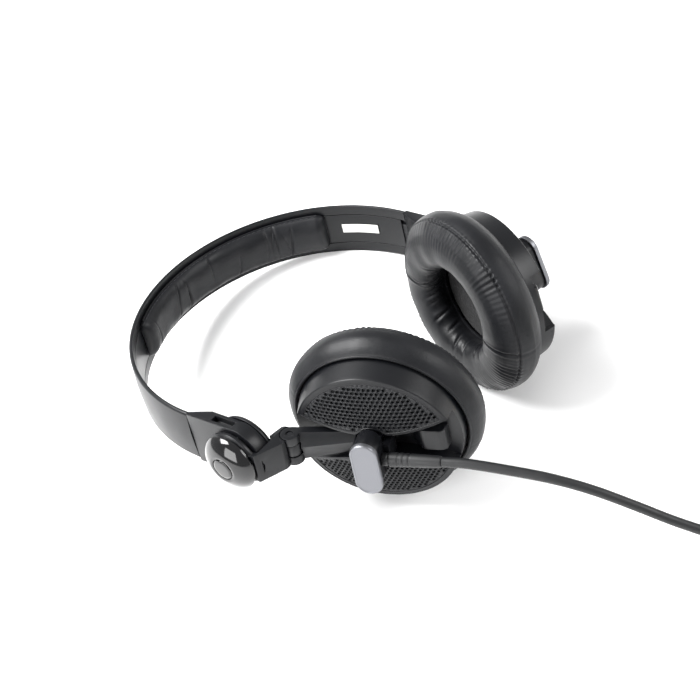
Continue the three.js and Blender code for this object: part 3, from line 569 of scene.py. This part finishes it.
def addPadPiping(whole, back, half):
    # a corded edge round the pad's foot, with stitches lying along it
    for edge in (-1, 1):
        arc = np.radians(np.linspace(pad["from"] + 2.6, pad["to"] - 2.6, 200))
        radius = back - 0.75
        beside = np.full_like(arc, edge * (half - 0.05))
        line = np.stack([radius * np.sin(arc), radius * np.cos(arc), beside], 1)
        addTube("padPiping" + ("Low" if edge < 0 else "High"), placed(line, bandFrame), 0.62 * mm,
                softLeatherette, "headband", sides=10)
    points, faces = [], []
    ring = np.stack([np.cos(np.linspace(0, 2 * np.pi, 6, endpoint=False)),
                     np.sin(np.linspace(0, 2 * np.pi, 6, endpoint=False))], 1)
    stitch = {"long": 2.2, "pitch": 3.0, "thick": 0.16}
    spots = np.arange(5, whole - 5, stitch["pitch"])
    for edge in (-1, 1):
        for spot in spots:
            ends = np.linspace(spot, spot + stitch["long"], 5)
            lift = np.array([0.2, 0.8, 1.0, 0.8, 0.2])
            for end, up in zip(ends, lift):
                turn = np.radians(pad["from"]) + end / back
                middle = np.array([back - 2.5, edge * (half + 0.26 + 0.1 * up)])
                ringHere = middle + ring * stitch["thick"] * up
                points.append(np.stack([ringHere[:, 0] * np.sin(turn), ringHere[:, 0] * np.cos(turn),
                                        ringHere[:, 1]], 1))
            faces.append(gridFaces(5, 6, closeColumns=True) + 30 * len(faces))
    grid = np.concatenate(points)
    obj = addMesh("padStitches", placed(grid, bandFrame), np.concatenate(faces), threadDark, "headband")
    mergeAndTurnOut(obj)


threadDark = plainSheet("threadDark", "2a2b2e", 0.6, scale=0.0008)
addHeadband()
addPadPiping(*addHeadPad())
print("headband made")


# pieces copied from the frame with softened edges

def addSoftened(name, node, width, material, body, angle=32):
    # the node's own solid, its doubles merged and flats joined, with a small round on every hard edge
    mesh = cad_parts[node].data.copy()
    mesh.name = name
    bm = bmesh.new()
    bm.from_mesh(mesh)
    bmesh.ops.remove_doubles(bm, verts=bm.verts, dist=5e-6)
    bmesh.ops.dissolve_limit(bm, angle_limit=math.radians(1.5), verts=bm.verts, edges=bm.edges)
    bm.to_mesh(mesh)
    bm.free()
    mesh.materials.clear()
    mesh.materials.append(material)
    mesh.polygons.foreach_set("use_smooth", np.ones(len(mesh.polygons), bool))
    obj = bpy.data.objects.new(name, mesh)
    scene.collection.objects.link(obj)
    bevel = obj.modifiers.new("edges", "BEVEL")
    bevel.width = width * mm
    bevel.segments = 3
    bevel.limit_method = "ANGLE"
    bevel.angle_limit = math.radians(angle)
    bevel.harden_normals = True
    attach(obj, body)
    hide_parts(node)
    return obj


# what each side carries at the band's end

housing = {"thick": 7.2, "outer": 87.9}
rearCap = {"radius": 16.0, "thick": 3.4}
dome = {"base": 5.3, "radius": 14.6, "height": 6.9, "rim": 1.4, "button": 5.8}


def addPivot(name, pose):
    k = pose["side"]
    base = bandFrame @ moveBy(0, -pivot["drop"], 0)
    addSoftened(name + "Housing", name + "_pivot_housing", 0.7, satinAbs, name + "_slider")
    back = housing["outer"] - housing["thick"] - 0.3
    r, t = rearCap["radius"], rearCap["thick"]
    profile = rounded([(back - t, 0), (back - t, r - 3.2), (back - t + 1.0, r - 0.9), (back - 1.1, r),
                       (back, r), (back, 0)], [0, 1.2, 1.2, 0.8, 0.3, 0], 5)
    cap = addTurned(name + "RearCap", profile, base, k, satinAbs, name + "_slider", 96)
    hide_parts(name + "_pivot_rear_cap")
    addSoftened(name + "Knuckle", name + "_knuckle", 0.6, satinAbs, name + "_swivel")
    b, r, button = dome["base"], dome["radius"], dome["button"]
    apex = b + dome["height"]
    turn = np.radians(np.linspace(0, 84, 28))
    rise = np.sin(turn) / math.sin(turn[-1])
    bulge = np.stack([b + dome["rim"] + (dome["height"] - dome["rim"]) * rise,
                      button + 0.35 + (r - button - 0.35) * np.cos(turn)], 1)
    bulge = 0.6 * bulge + 0.4 * (bulge[0] + (bulge[-1] - bulge[0]) * np.linspace(0, 1, len(bulge))[:, None])
    outline = np.concatenate([[(b, 0), (b, r - 1.0), (b + 0.3, r - 0.5), (b + 0.75, r - 0.5),
                               (b + 0.8, r - 0.1)],
                              bulge, [(apex - 0.2, button + 0.1), (apex - 1.1, button), (apex - 1.15, 0)]])
    shape = addTurned(name + "Dome", outline, frames[name]["swing"], k, glossAbs, name + "_swivel", 144,
                      sharp=35)
    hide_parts(name + "_dome_cap")
    top = rounded([(apex - 0.85, 0), (apex - 0.85, button - 0.45), (apex - 0.1, button - 0.45),
                   (apex + 0.35, button - 1.5), (apex + 0.5, 0)], [0, 0.1, 0.5, 1.2, 0], 5)
    shape = addTurned(name + "DomeButton", top, frames[name]["swing"], k, glossAbs, name + "_swivel", 96,
                      sharp=50)
    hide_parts(name + "_dome_button")


# arm, boss and badge

badge = {"halfLong": 14.7, "halfWide": 6.5, "thick": 2.6, "at": 14.7}


def capsuleOutline(halfLong, halfWide, steps=20):
    # a straight-sided outline with half-round ends, long in Z, in (y, z)
    turn = np.linspace(0, np.pi, steps)
    top = np.stack([halfWide * np.cos(turn), halfLong - halfWide + halfWide * np.sin(turn)], 1)
    return np.concatenate([top, -top])


def addBadge(name, pose):
    k = pose["side"]
    levels = [(0.0, 0.15), (0.15, 0.0), (1.7, 0.0), (2.1, 0.08), (2.42, 0.32), (2.58, 0.7), (2.6, 1.05),
              (2.52, 1.22), (2.42, 1.3), (2.4, 1.6)]
    rings = []
    for height, inset in levels:
        outline = capsuleOutline(badge["halfLong"] - inset, badge["halfWide"] - inset)
        x = np.full(len(outline), hubAt["x"] + badge["at"] + height)
        rings.append(np.stack([x, outline[:, 0] + hubAt["y"], outline[:, 1]], 1))
    count = len(rings[0])
    faces = [*gridFaces(len(levels), count, closeColumns=True, flip=k < 0)]
    faces += [np.arange(count)[::-1], np.arange(count) + (len(levels) - 1) * count]
    obj = addMesh(name + "Badge", placed(np.concatenate(rings), frames[name]["reach"], k), faces, silverPaint,
                  name + "_arm")
    mergeAndTurnOut(obj, 30)
    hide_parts(name + "_badge")


def addStrainRelief():
    # tapered sleeve with a collar, a neck and grip rings, along the arm's own direction
    start = hubAt["y"] - 5.6 - 0.3
    corners = [(0, 0), (0, 3.0), (2.2, 3.0), (2.5, 2.7), (3.1, 2.7), (3.5, 3.3), (7.0, 3.35), (7.3, 3.05),
               (8.0, 3.05), (8.3, 3.3), (9.6, 3.28), (9.9, 2.98), (10.6, 2.98), (10.9, 3.22), (12.2, 3.2),
               (12.5, 2.92), (13.2, 2.92), (13.5, 3.14), (26.9, 2.76), (27.4, 2.5), (27.4, 0)]
    profile = rounded(corners, 0.15, 3)
    grid = turnedShape(profile, 48)
    points = np.stack([hubAt["x"] + reliefEnd["x"] + grid[..., 1], start - grid[..., 0], grid[..., 2]], -1)
    rows, columns = points.shape[:2]
    obj = addMesh("strainRelief", placed(points.reshape(-1, 3), frames["left"]["reach"], -1),
                  gridFaces(rows, columns, closeRows=True), cordPvc, "left_arm")
    mergeAndTurnOut(obj, 40)
    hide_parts("left_strain_relief")


# ear cup: a shallow domed face with a channel across it and two eye-shaped windows

shell = {"back": 8.0, "face": 20.7, "backRadius": 39.9, "faceRadius": 38.2, "domeRadius": 36.6, "dome": 5.6}
channel = {"floor": 14.0, "half": 7.5, "flare": 8.0, "hub": 10.6, "lip": 1.7}
window = {"radius": 35.4, "sink": 2.2}
lattice = {"pitch": 2.3, "hole": 0.78, "top": 0.25, "deep": 0.6}


def channelHalf(y):
    # half width of the channel at a distance y from the hub, with a round bite at the hub
    flared = channel["half"] + channel["flare"] * (np.abs(y) / shell["faceRadius"]) ** 2
    return np.maximum(flared, np.sqrt(np.clip(channel["hub"] ** 2 - y ** 2, 0, None)))


def domeHeight(y, z):
    share = np.clip((y ** 2 + z ** 2) / shell["domeRadius"] ** 2, 0, 1)
    return shell["face"] + shell["dome"] * (1 - share)


def wallRadius(along):
    share = (along - shell["back"]) / (shell["face"] - shell["back"])
    return shell["backRadius"] + (shell["faceRadius"] - shell["backRadius"]) * share


def shellHalf():
    # columns run from the middle of the channel out over the face, round the rim and down the wall
    inner = shell["domeRadius"]
    turn = np.radians(np.linspace(-90, 90, 241))
    gap = inner * np.cos(turn) - channelHalf(inner * np.sin(turn))
    ends = turn[:-1][np.sign(gap[:-1]) != np.sign(gap[1:])]
    extra = np.concatenate([[end + 0.003, end + 0.0032] for end in ends]) if len(ends) else []
    turn = np.sort(np.concatenate([turn, extra]))
    y, reach = inner * np.sin(turn), inner * np.cos(turn)
    half = channelHalf(y)
    eye = half + channel["lip"]
    outer = np.sqrt(np.clip(window["radius"] ** 2 - y ** 2, 0, None))
    open_ = np.clip((outer - eye) / 0.8, 0, 1)
    outer = np.maximum(outer, eye)
    floor = channel["floor"]
    inside = reach <= half  # columns that run out along the channel

    def level(z, height):
        z = np.minimum(z, reach)
        high = height if np.ndim(height) else np.full_like(z, height)
        return np.where(inside, floor, high), y, z

    def onDome(z, drop):
        z = np.minimum(z, reach)
        return level(z, domeHeight(y, z) - drop)

    levels = [level(half * f, floor) for f in (0, 0.25, 0.5, 0.75, 0.93)]
    levels += [level(half - 0.25, floor + 0.08), level(half - 0.05, floor + 0.45)]
    levels += [onDome(half, 0.6), onDome(half + 0.05, 0.3), onDome(half + 0.18, 0.1), onDome(half + 0.4, 0)]
    levels += [onDome((half + eye) / 2, 0), onDome(eye - 0.35, 0), onDome(eye - 0.12, 0.08 * open_)]
    levels += [onDome(eye, 0.3 * open_), onDome(eye + 0.03, window["sink"] * open_)]
    for share in (0.2, 0.4, 0.6, 0.8):
        levels.append(onDome(eye + 0.03 + (outer - eye - 0.06) * share, window["sink"] * open_))
    levels += [onDome(outer - 0.03, window["sink"] * open_), onDome(outer, 0.3 * open_)]
    levels += [onDome(outer + 0.12, 0.08 * open_), onDome(outer + 0.35, 0)]
    levels += [onDome((outer + 0.35 + reach) / 2, 0), onDome(reach, 0)]
    grid = [np.stack(item, 1) for item in levels]
    unit = np.stack([np.zeros_like(turn), np.sin(turn), np.cos(turn)], 1)
    rim = rounded([(shell["face"], shell["domeRadius"]), (shell["face"], shell["faceRadius"]),
                   (shell["back"], shell["backRadius"])], [0, 1.7, 0], 8)[1:]
    wall = np.stack([np.linspace(rim[-2][0], shell["back"], 8)[1:],
                     np.linspace(rim[-2][1], shell["backRadius"], 8)[1:]], 1)
    for along, radius in np.concatenate([rim[:-1], wall]):
        low = np.where(inside & (along > floor), floor, along)
        wide = np.where(inside & (along > floor), np.minimum(radius + 1.2, wallRadius(floor)), radius)
        point = unit * wide[:, None]
        point[:, 0] = low
        grid.append(point)
    bottom = unit * (shell["backRadius"] - 2.0)
    bottom[:, 0] = shell["back"]
    grid.append(bottom)
    return np.stack(grid, 1)


def addCupShell(name, pose):
    k = pose["side"]
    upper = shellHalf()
    rows, columns = upper.shape[:2]
    lower = upper * (1, 1, -1)
    points = np.concatenate([upper.reshape(-1, 3), lower.reshape(-1, 3)])
    faces = np.concatenate([gridFaces(rows, columns, flip=k > 0),
                            gridFaces(rows, columns, flip=k < 0) + rows * columns])
    obj = addMesh(name + "CupShell", placed(points, frames[name]["cup"], k), faces, satinAbs, name + "_cup")
    bm = bmesh.new()
    bm.from_mesh(obj.data)
    bmesh.ops.remove_doubles(bm, verts=bm.verts, dist=2e-6)
    bmesh.ops.dissolve_degenerate(bm, edges=bm.edges, dist=1e-6)
    bmesh.ops.recalc_face_normals(bm, faces=bm.faces)
    bm.to_mesh(obj.data)
    bm.free()
    obj.data.polygons.foreach_set("use_smooth", np.ones(len(obj.data.polygons), bool))
    obj.data.set_sharp_from_angle(angle=math.radians(28))
    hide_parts(name + "_cup_shell")


def keptInEye(points):
    # moves points to the nearest place inside the upper window
    y, z = points[..., 0], points[..., 1]
    for _ in range(3):
        z = np.maximum(z, channelHalf(y) + channel["lip"] + 0.1)
        r = np.hypot(y, z)
        shrink = np.minimum(1, (window["radius"] - 0.1) / r)
        y, z = y * shrink, z * shrink
    return np.stack([y, z], -1)


def latticePoints():
    # six-sided cells, each with a round hole; cells on the border are filled and cut to the window
    pitch = lattice["pitch"]
    i, j = [a.ravel() for a in np.meshgrid(np.arange(-18, 19), np.arange(0, 19), indexing="ij")]
    centre = np.stack([(i + 0.5 * (j % 2)) * pitch, (j * 0.866 + 0.3) * pitch], 1)
    eye = centre[:, 1] - (channelHalf(centre[:, 0]) + channel["lip"])
    rim = window["radius"] - np.hypot(centre[:, 0], centre[:, 1])
    depth = np.minimum(eye, rim)
    centre, depth = centre[depth > -1.25], depth[depth > -1.25]
    turn = np.radians(np.arange(0, 360, 30))
    corner = np.where(np.arange(12) % 2 == 1, 1 / math.cos(math.radians(30)), 1.0) * pitch / 2
    hexagon = np.stack([np.cos(turn) * corner, np.sin(turn) * corner], 1)
    circle = np.stack([np.cos(turn), np.sin(turn)], 1)
    holed = depth > lattice["hole"] + 0.3
    rings = []
    for size, drop in ((None, 0.14), (lattice["hole"] * 1.22, 0.0), (lattice["hole"] * 1.02, 0.1),
                       (lattice["hole"] * 0.98, lattice["deep"])):
        flat = centre[:, None] + (hexagon if size is None else circle * size)[None]
        flat = keptInEye(flat)
        height = domeHeight(flat[..., 0], flat[..., 1]) - lattice["top"] - drop
        rings.append(np.concatenate([height[..., None], flat], -1))
    return np.stack(rings, 1), holed


def addLattice(name, pose, upper):
    k = pose["side"]
    cells, holed = latticePoints()
    cells = cells * (1, 1, 1 if upper else -1)
    faces, flip = [], (k > 0) == upper
    base = gridFaces(4, 12, closeColumns=True, flip=flip)
    start = np.arange(len(cells)) * 48
    faces = [*(base[None] + start[holed][:, None, None]).reshape(-1, 4)]
    cover = np.arange(12)[::-1] if not flip else np.arange(12)
    ringFaces = gridFaces(2, 12, closeColumns=True, flip=flip)
    faces += [*(ringFaces[None] + start[~holed][:, None, None]).reshape(-1, 4)]
    faces += [*(cover[None] + 12 + start[~holed][:, None])]
    which = "Upper" if upper else "Lower"
    obj = addMesh(name + "Lattice" + which, placed(cells.reshape(-1, 3), frames[name]["cup"], k), faces,
                  mattAbs, name + "_cup", smooth=False)
    bm = bmesh.new()
    bm.from_mesh(obj.data)
    bmesh.ops.remove_doubles(bm, verts=bm.verts, dist=1e-5)
    bmesh.ops.dissolve_degenerate(bm, edges=bm.edges, dist=1e-6)
    loose = [v for v in bm.verts if not v.link_faces]
    bmesh.ops.delete(bm, geom=loose, context="VERTS")
    bm.to_mesh(obj.data)
    bm.free()
    obj.data.polygons.foreach_set("use_smooth", np.ones(len(obj.data.polygons), bool))
    obj.data.set_sharp_from_angle(angle=math.radians(40))


def addBlock(name, corners, width, middle, radius, matrix, side, material, body):
    # an outline of (x, y) corners, rounded, pushed along Z and softened on its edges
    outline = rounded(corners, radius, 4, closed=True)
    count = len(outline)
    ends = [np.column_stack([outline, np.full(count, middle + s * width / 2)]) for s in (-1, 1)]
    faces = [*gridFaces(2, count, closeColumns=True)] + [np.arange(count), np.arange(count)[::-1] + count]
    obj = addMesh(name, placed(np.concatenate(ends), matrix, side), faces, material, body)
    mergeAndTurnOut(obj, 30)
    bevel = obj.modifiers.new("edges", "BEVEL")
    bevel.width, bevel.segments = 0.45 * mm, 3
    bevel.limit_method, bevel.angle_limit = "ANGLE", math.radians(50)
    bevel.harden_normals = True
    return obj


def addCupDetails(name, pose):
    k, cup, body = pose["side"], frames[name]["cup"], name + "_cup"
    floor = channel["floor"] - 0.3
    plate = [(floor, -33.0), (18.6, -32.2), (20.0, -30.2), (20.0, -21), (floor, -15)]
    addBlock(name + "TonguePlate", plate, 12.4, 0, [0, 0.6, 1.2, 2, 0], cup, k, satinAbs, body)
    ear = [(floor, -4.6), (27.2, -4.6), (27.2, 4.6), (floor, 4.6)]
    for place in (-1, 1):
        addBlock(name + "HubEar" + ("Low" if place < 0 else "High"), ear, 3.0, place * 6.4, [0, 3, 3, 0],
                 cup, k, satinAbs, body)


# ear cushion: foam under leatherette, gathered along a seam round its front

cushion = {"puckers": 104, "creases": 21, "joints": {"left": (200, 20), "right": (200, 20)}}


def cushionProfile(count):
    corners = [(2.5, 40.6), (2.5, 24.2), (0.2, 22.6), (-4, 21.0), (-8.2, 21.9), (-11.2, 24.8), (-12.5, 29.0),
               (-12.35, 34.5), (-11.0, 38.8), (-9.5, 41.2), (-7.0, 44.0), (-3.2, 46.1), (1.5, 46.5),
               (5.5, 45.1), (8.4, 43.0), (9.3, 41.6), (9.0, 40.5), (6, 40.45)]
    return flowing(corners, count, closed=True)


def addCushion(name, pose):
    k, rows, columns = pose["side"], 480, 170
    profile = cushionProfile(columns)
    around = np.linspace(0, 2 * np.pi, rows, endpoint=False)[:, None]
    lengths = np.concatenate([[0], np.cumsum(np.linalg.norm(np.diff(profile, axis=0), axis=1))])
    forward = np.roll(profile, -1, axis=0) - np.roll(profile, 1, axis=0)
    normal = np.stack([-forward[:, 1], forward[:, 0]], 1) / np.linalg.norm(forward, axis=1)[:, None]
    middle = profile.mean(axis=0)
    normal *= np.sign(((profile - middle) * normal).sum(axis=1))[:, None]
    seamAt = lengths[np.argmin(np.hypot(profile[:, 0] + 6.0, profile[:, 1] - 44.9))]
    holeAt = lengths[np.argmin(np.hypot(profile[:, 0] + 6, profile[:, 1] - 21.2))]
    s = lengths[None]
    local = np.random.default_rng(11 if k < 0 else 23)

    def waves(count, spread, terms=5):
        # an uneven ripple round the cushion, about count waves, between -1 and 1
        total = np.zeros_like(around)
        for _ in range(terms):
            often = round(count + local.uniform(-spread, spread))
            total = total + np.sin(around * often + local.uniform(0, 6.3))
        return total / terms ** 0.5

    fromSeam = s - seamAt
    strength = 0.55 + 0.45 * np.clip(waves(5, 3), -1, 1)
    front = (fromSeam < 0) * np.exp(-(fromSeam / 8) ** 2) + (fromSeam >= 0) * np.exp(-(fromSeam / 1.4) ** 2)
    puckers = 0.42 * strength * waves(cushion["puckers"], 22) * front
    seam = -0.8 * np.exp(-(fromSeam / 0.4) ** 2) + 0.22 * np.exp(-((np.abs(fromSeam) - 1.1) / 0.7) ** 2)
    lean = around + 0.012 * (s - holeAt)
    total = np.zeros_like(lean)
    for _ in range(cushion["creases"]):
        place, deep = local.uniform(0, 2 * np.pi), local.uniform(0.25, 0.8)
        gap = (np.mod(lean - place + np.pi, 2 * np.pi) - np.pi) * 24
        centre, long = holeAt + local.uniform(-2, 4.5), local.uniform(2.5, 5.0)
        fade = np.exp(-((s - centre) / long) ** 2)
        total = total - deep * np.exp(-(gap / 0.8) ** 2) * fade
        total = total + 0.3 * deep * np.exp(-((np.abs(gap) - 1.9) / 1.2) ** 2) * fade
    joints = np.zeros_like(lean)
    for place in cushion["joints"][name]:
        gap = (np.mod(around - math.radians(place) + np.pi, 2 * np.pi) - np.pi) * 33
        joints = joints - 0.55 * np.exp(-(gap / 0.45) ** 2) + 0.2 * np.exp(-((np.abs(gap) - 1.2) / 0.7) ** 2)
    shown = np.clip((s - lengths[2]) / 3, 0, 1) * np.clip((lengths[-2] - s) / 3, 0, 1)
    soft = 0.22 * waves(4, 2, 3) + 0.12 * waves(13, 4, 4)
    outward = 1 / (1 + np.exp(-(profile[None, :, 1] - 30) / 3))
    move = (puckers + seam + total + joints * (0.35 + 0.65 * (fromSeam < 0))
            + soft * (1 - 0.4 * outward)) * shown
    body = profile[:, 0][None] < 3
    move = np.where(body, move, move * 0.35)
    along = profile[:, 0][None] + normal[:, 0][None] * move
    radius = profile[:, 1][None] + normal[:, 1][None] * move
    grid = np.stack([along, radius * np.cos(around), radius * np.sin(around)], -1)
    faces = gridFaces(rows, columns, closeRows=True, closeColumns=True, flip=k < 0)
    obj = addMesh(name + "EarCushion", placed(grid.reshape(-1, 3), frames[name]["cup"], k), faces,
                  softLeatherette, name + "_cup")
    mergeAndTurnOut(obj)
    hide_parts(name + "_ear_cushion")
    ring = np.linspace(0, 2 * np.pi, 240, endpoint=False)
    hem = np.stack([np.full_like(ring, 9.15), 41.35 * np.cos(ring), 41.35 * np.sin(ring)], 1)
    addTube(name + "CushionHem", placed(hem, frames[name]["cup"], k), 0.62 * mm, softLeatherette,
            name + "_cup", sides=10, closed=True)


# plug, tie and the small parts that keep the frame's own shapes

def addPlug():
    start = np.array(besideCoil(plug["angle"], plug["radius"], plug["height"]))
    heading = math.degrees(math.atan2(plug["ahead"][1], plug["ahead"][0]))
    matrix = moveBy(*start) @ turnAbout(2, heading)
    sleeve = [(0.3, 0), (0.3, 2.85), (4, 3.1), (4.4, 2.8), (5.2, 2.8), (5.6, 3.25), (8.6, 3.45), (9, 3.1),
              (9.8, 3.1), (10.2, 3.6), (13.2, 3.8), (13.6, 3.4), (14.4, 3.4), (14.8, 3.9),
              (22.3, 4.2), (22.5, 5.2),
              (23.2, 5.6), (30, 5.6), (31, 5.2), (44, 5.2), (45, 5.6), (51.6, 5.6), (52.3, 5.1), (52.3, 0)]
    obj = addTurned("plugSleeve", rounded(sleeve, 0.3, 3), matrix, 1, cordPvc, "left_arm", 64)
    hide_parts("plug_sleeve")
    jack = [(52.6, 0), (52.6, 5.2), (60.6, 5.2), (61.6, 4.2), (61.6, 3.15), (81, 3.15), (81.4, 2.75),
            (82, 2.75), (82.4, 3.15), (86, 3.15), (87.4, 1.95), (89, 3.15), (90.6, 2.35),
            (91.6, 1.15), (91.6, 0)]
    obj = addTurned("plugAdapter", rounded(jack, 0.3, 3), matrix, 1, goldPlate, "left_arm", 64)
    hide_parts("plug_adapter")


nodeFinish = {
    "headband_spring": brightSteel, "rating_label": whiteLabel, "slider_strip": mattAbs,
    "wave_washer": brightSteel, "pivot_bolt": brightSteel, "pivot_nut": brightSteel, "fold_pin": mattAbs,
    "gimbal_block": brightSteel, "grille_upper": mattAbs, "grille_lower": mattAbs, "baffle": mattAbs,
    "cushion_ring": mattAbs, "driver_frame": satinAbs, "driver_magnet": brightSteel, "diaphragm": clearFilm,
    "driver_felt": driverCloth, "coil_tie": driverCloth,
}


def finishNodes():
    # each node that keeps its own mesh gets its material in its own slot
    for node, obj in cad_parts.items():
        kind = node.replace("left_", "").replace("right_", "")
        if kind in nodeFinish:
            obj.data.materials.clear()
            obj.data.materials.append(nodeFinish[kind])


for name, pose in poses.items():
    addPivot(name, pose)
    addSoftened(name + "Arm", name + "_arm", 0.5, satinAbs, name + "_arm")
    addBadge(name, pose)
    addCupShell(name, pose)
    addLattice(name, pose, True)
    addLattice(name, pose, False)
    addCupDetails(name, pose)
    addCushion(name, pose)
    print(name, "side made")
addStrainRelief()
addPlug()
finishNodes()


# floor and light

studio = {"board": 6.0, "below": 0.0002, "worldLight": 0.6}


def addFloor():
    # smooth painted board, near white, just under the object
    material = startMaterial("whiteBoard", "fafafa", 0.9, ior=1.2)[0]
    size, z = studio["board"], -studio["below"]
    points = np.array([(-size, -size, z), (size, -size, z), (size, size, z), (-size, size, z)])
    addMesh("floor", points, np.array([[0, 1, 2, 3]]), material, None, smooth=False)
    world = bpy.data.worlds.new("studio")
    world.use_nodes = True
    world.node_tree.nodes["Background"].inputs["Color"].default_value = linear("ffffff")
    world.node_tree.nodes["Background"].inputs["Strength"].default_value = studio["worldLight"]
    scene.world = world


addFloor()
addLight("key", (-0.25, 0.75, 1.2), (0, -0.02, 0.03), (0.9, 0.7), 44)
addLight("left", (-1.2, 0.1, 0.6), (0, -0.02, 0.04), (0.8, 0.8), 14)
addLight("right", (0.7, -1.1, 0.8), (0, -0.02, 0.03), (0.8, 0.6), 12)
scene.view_settings.view_transform = "Standard"
print("floor and light placed")
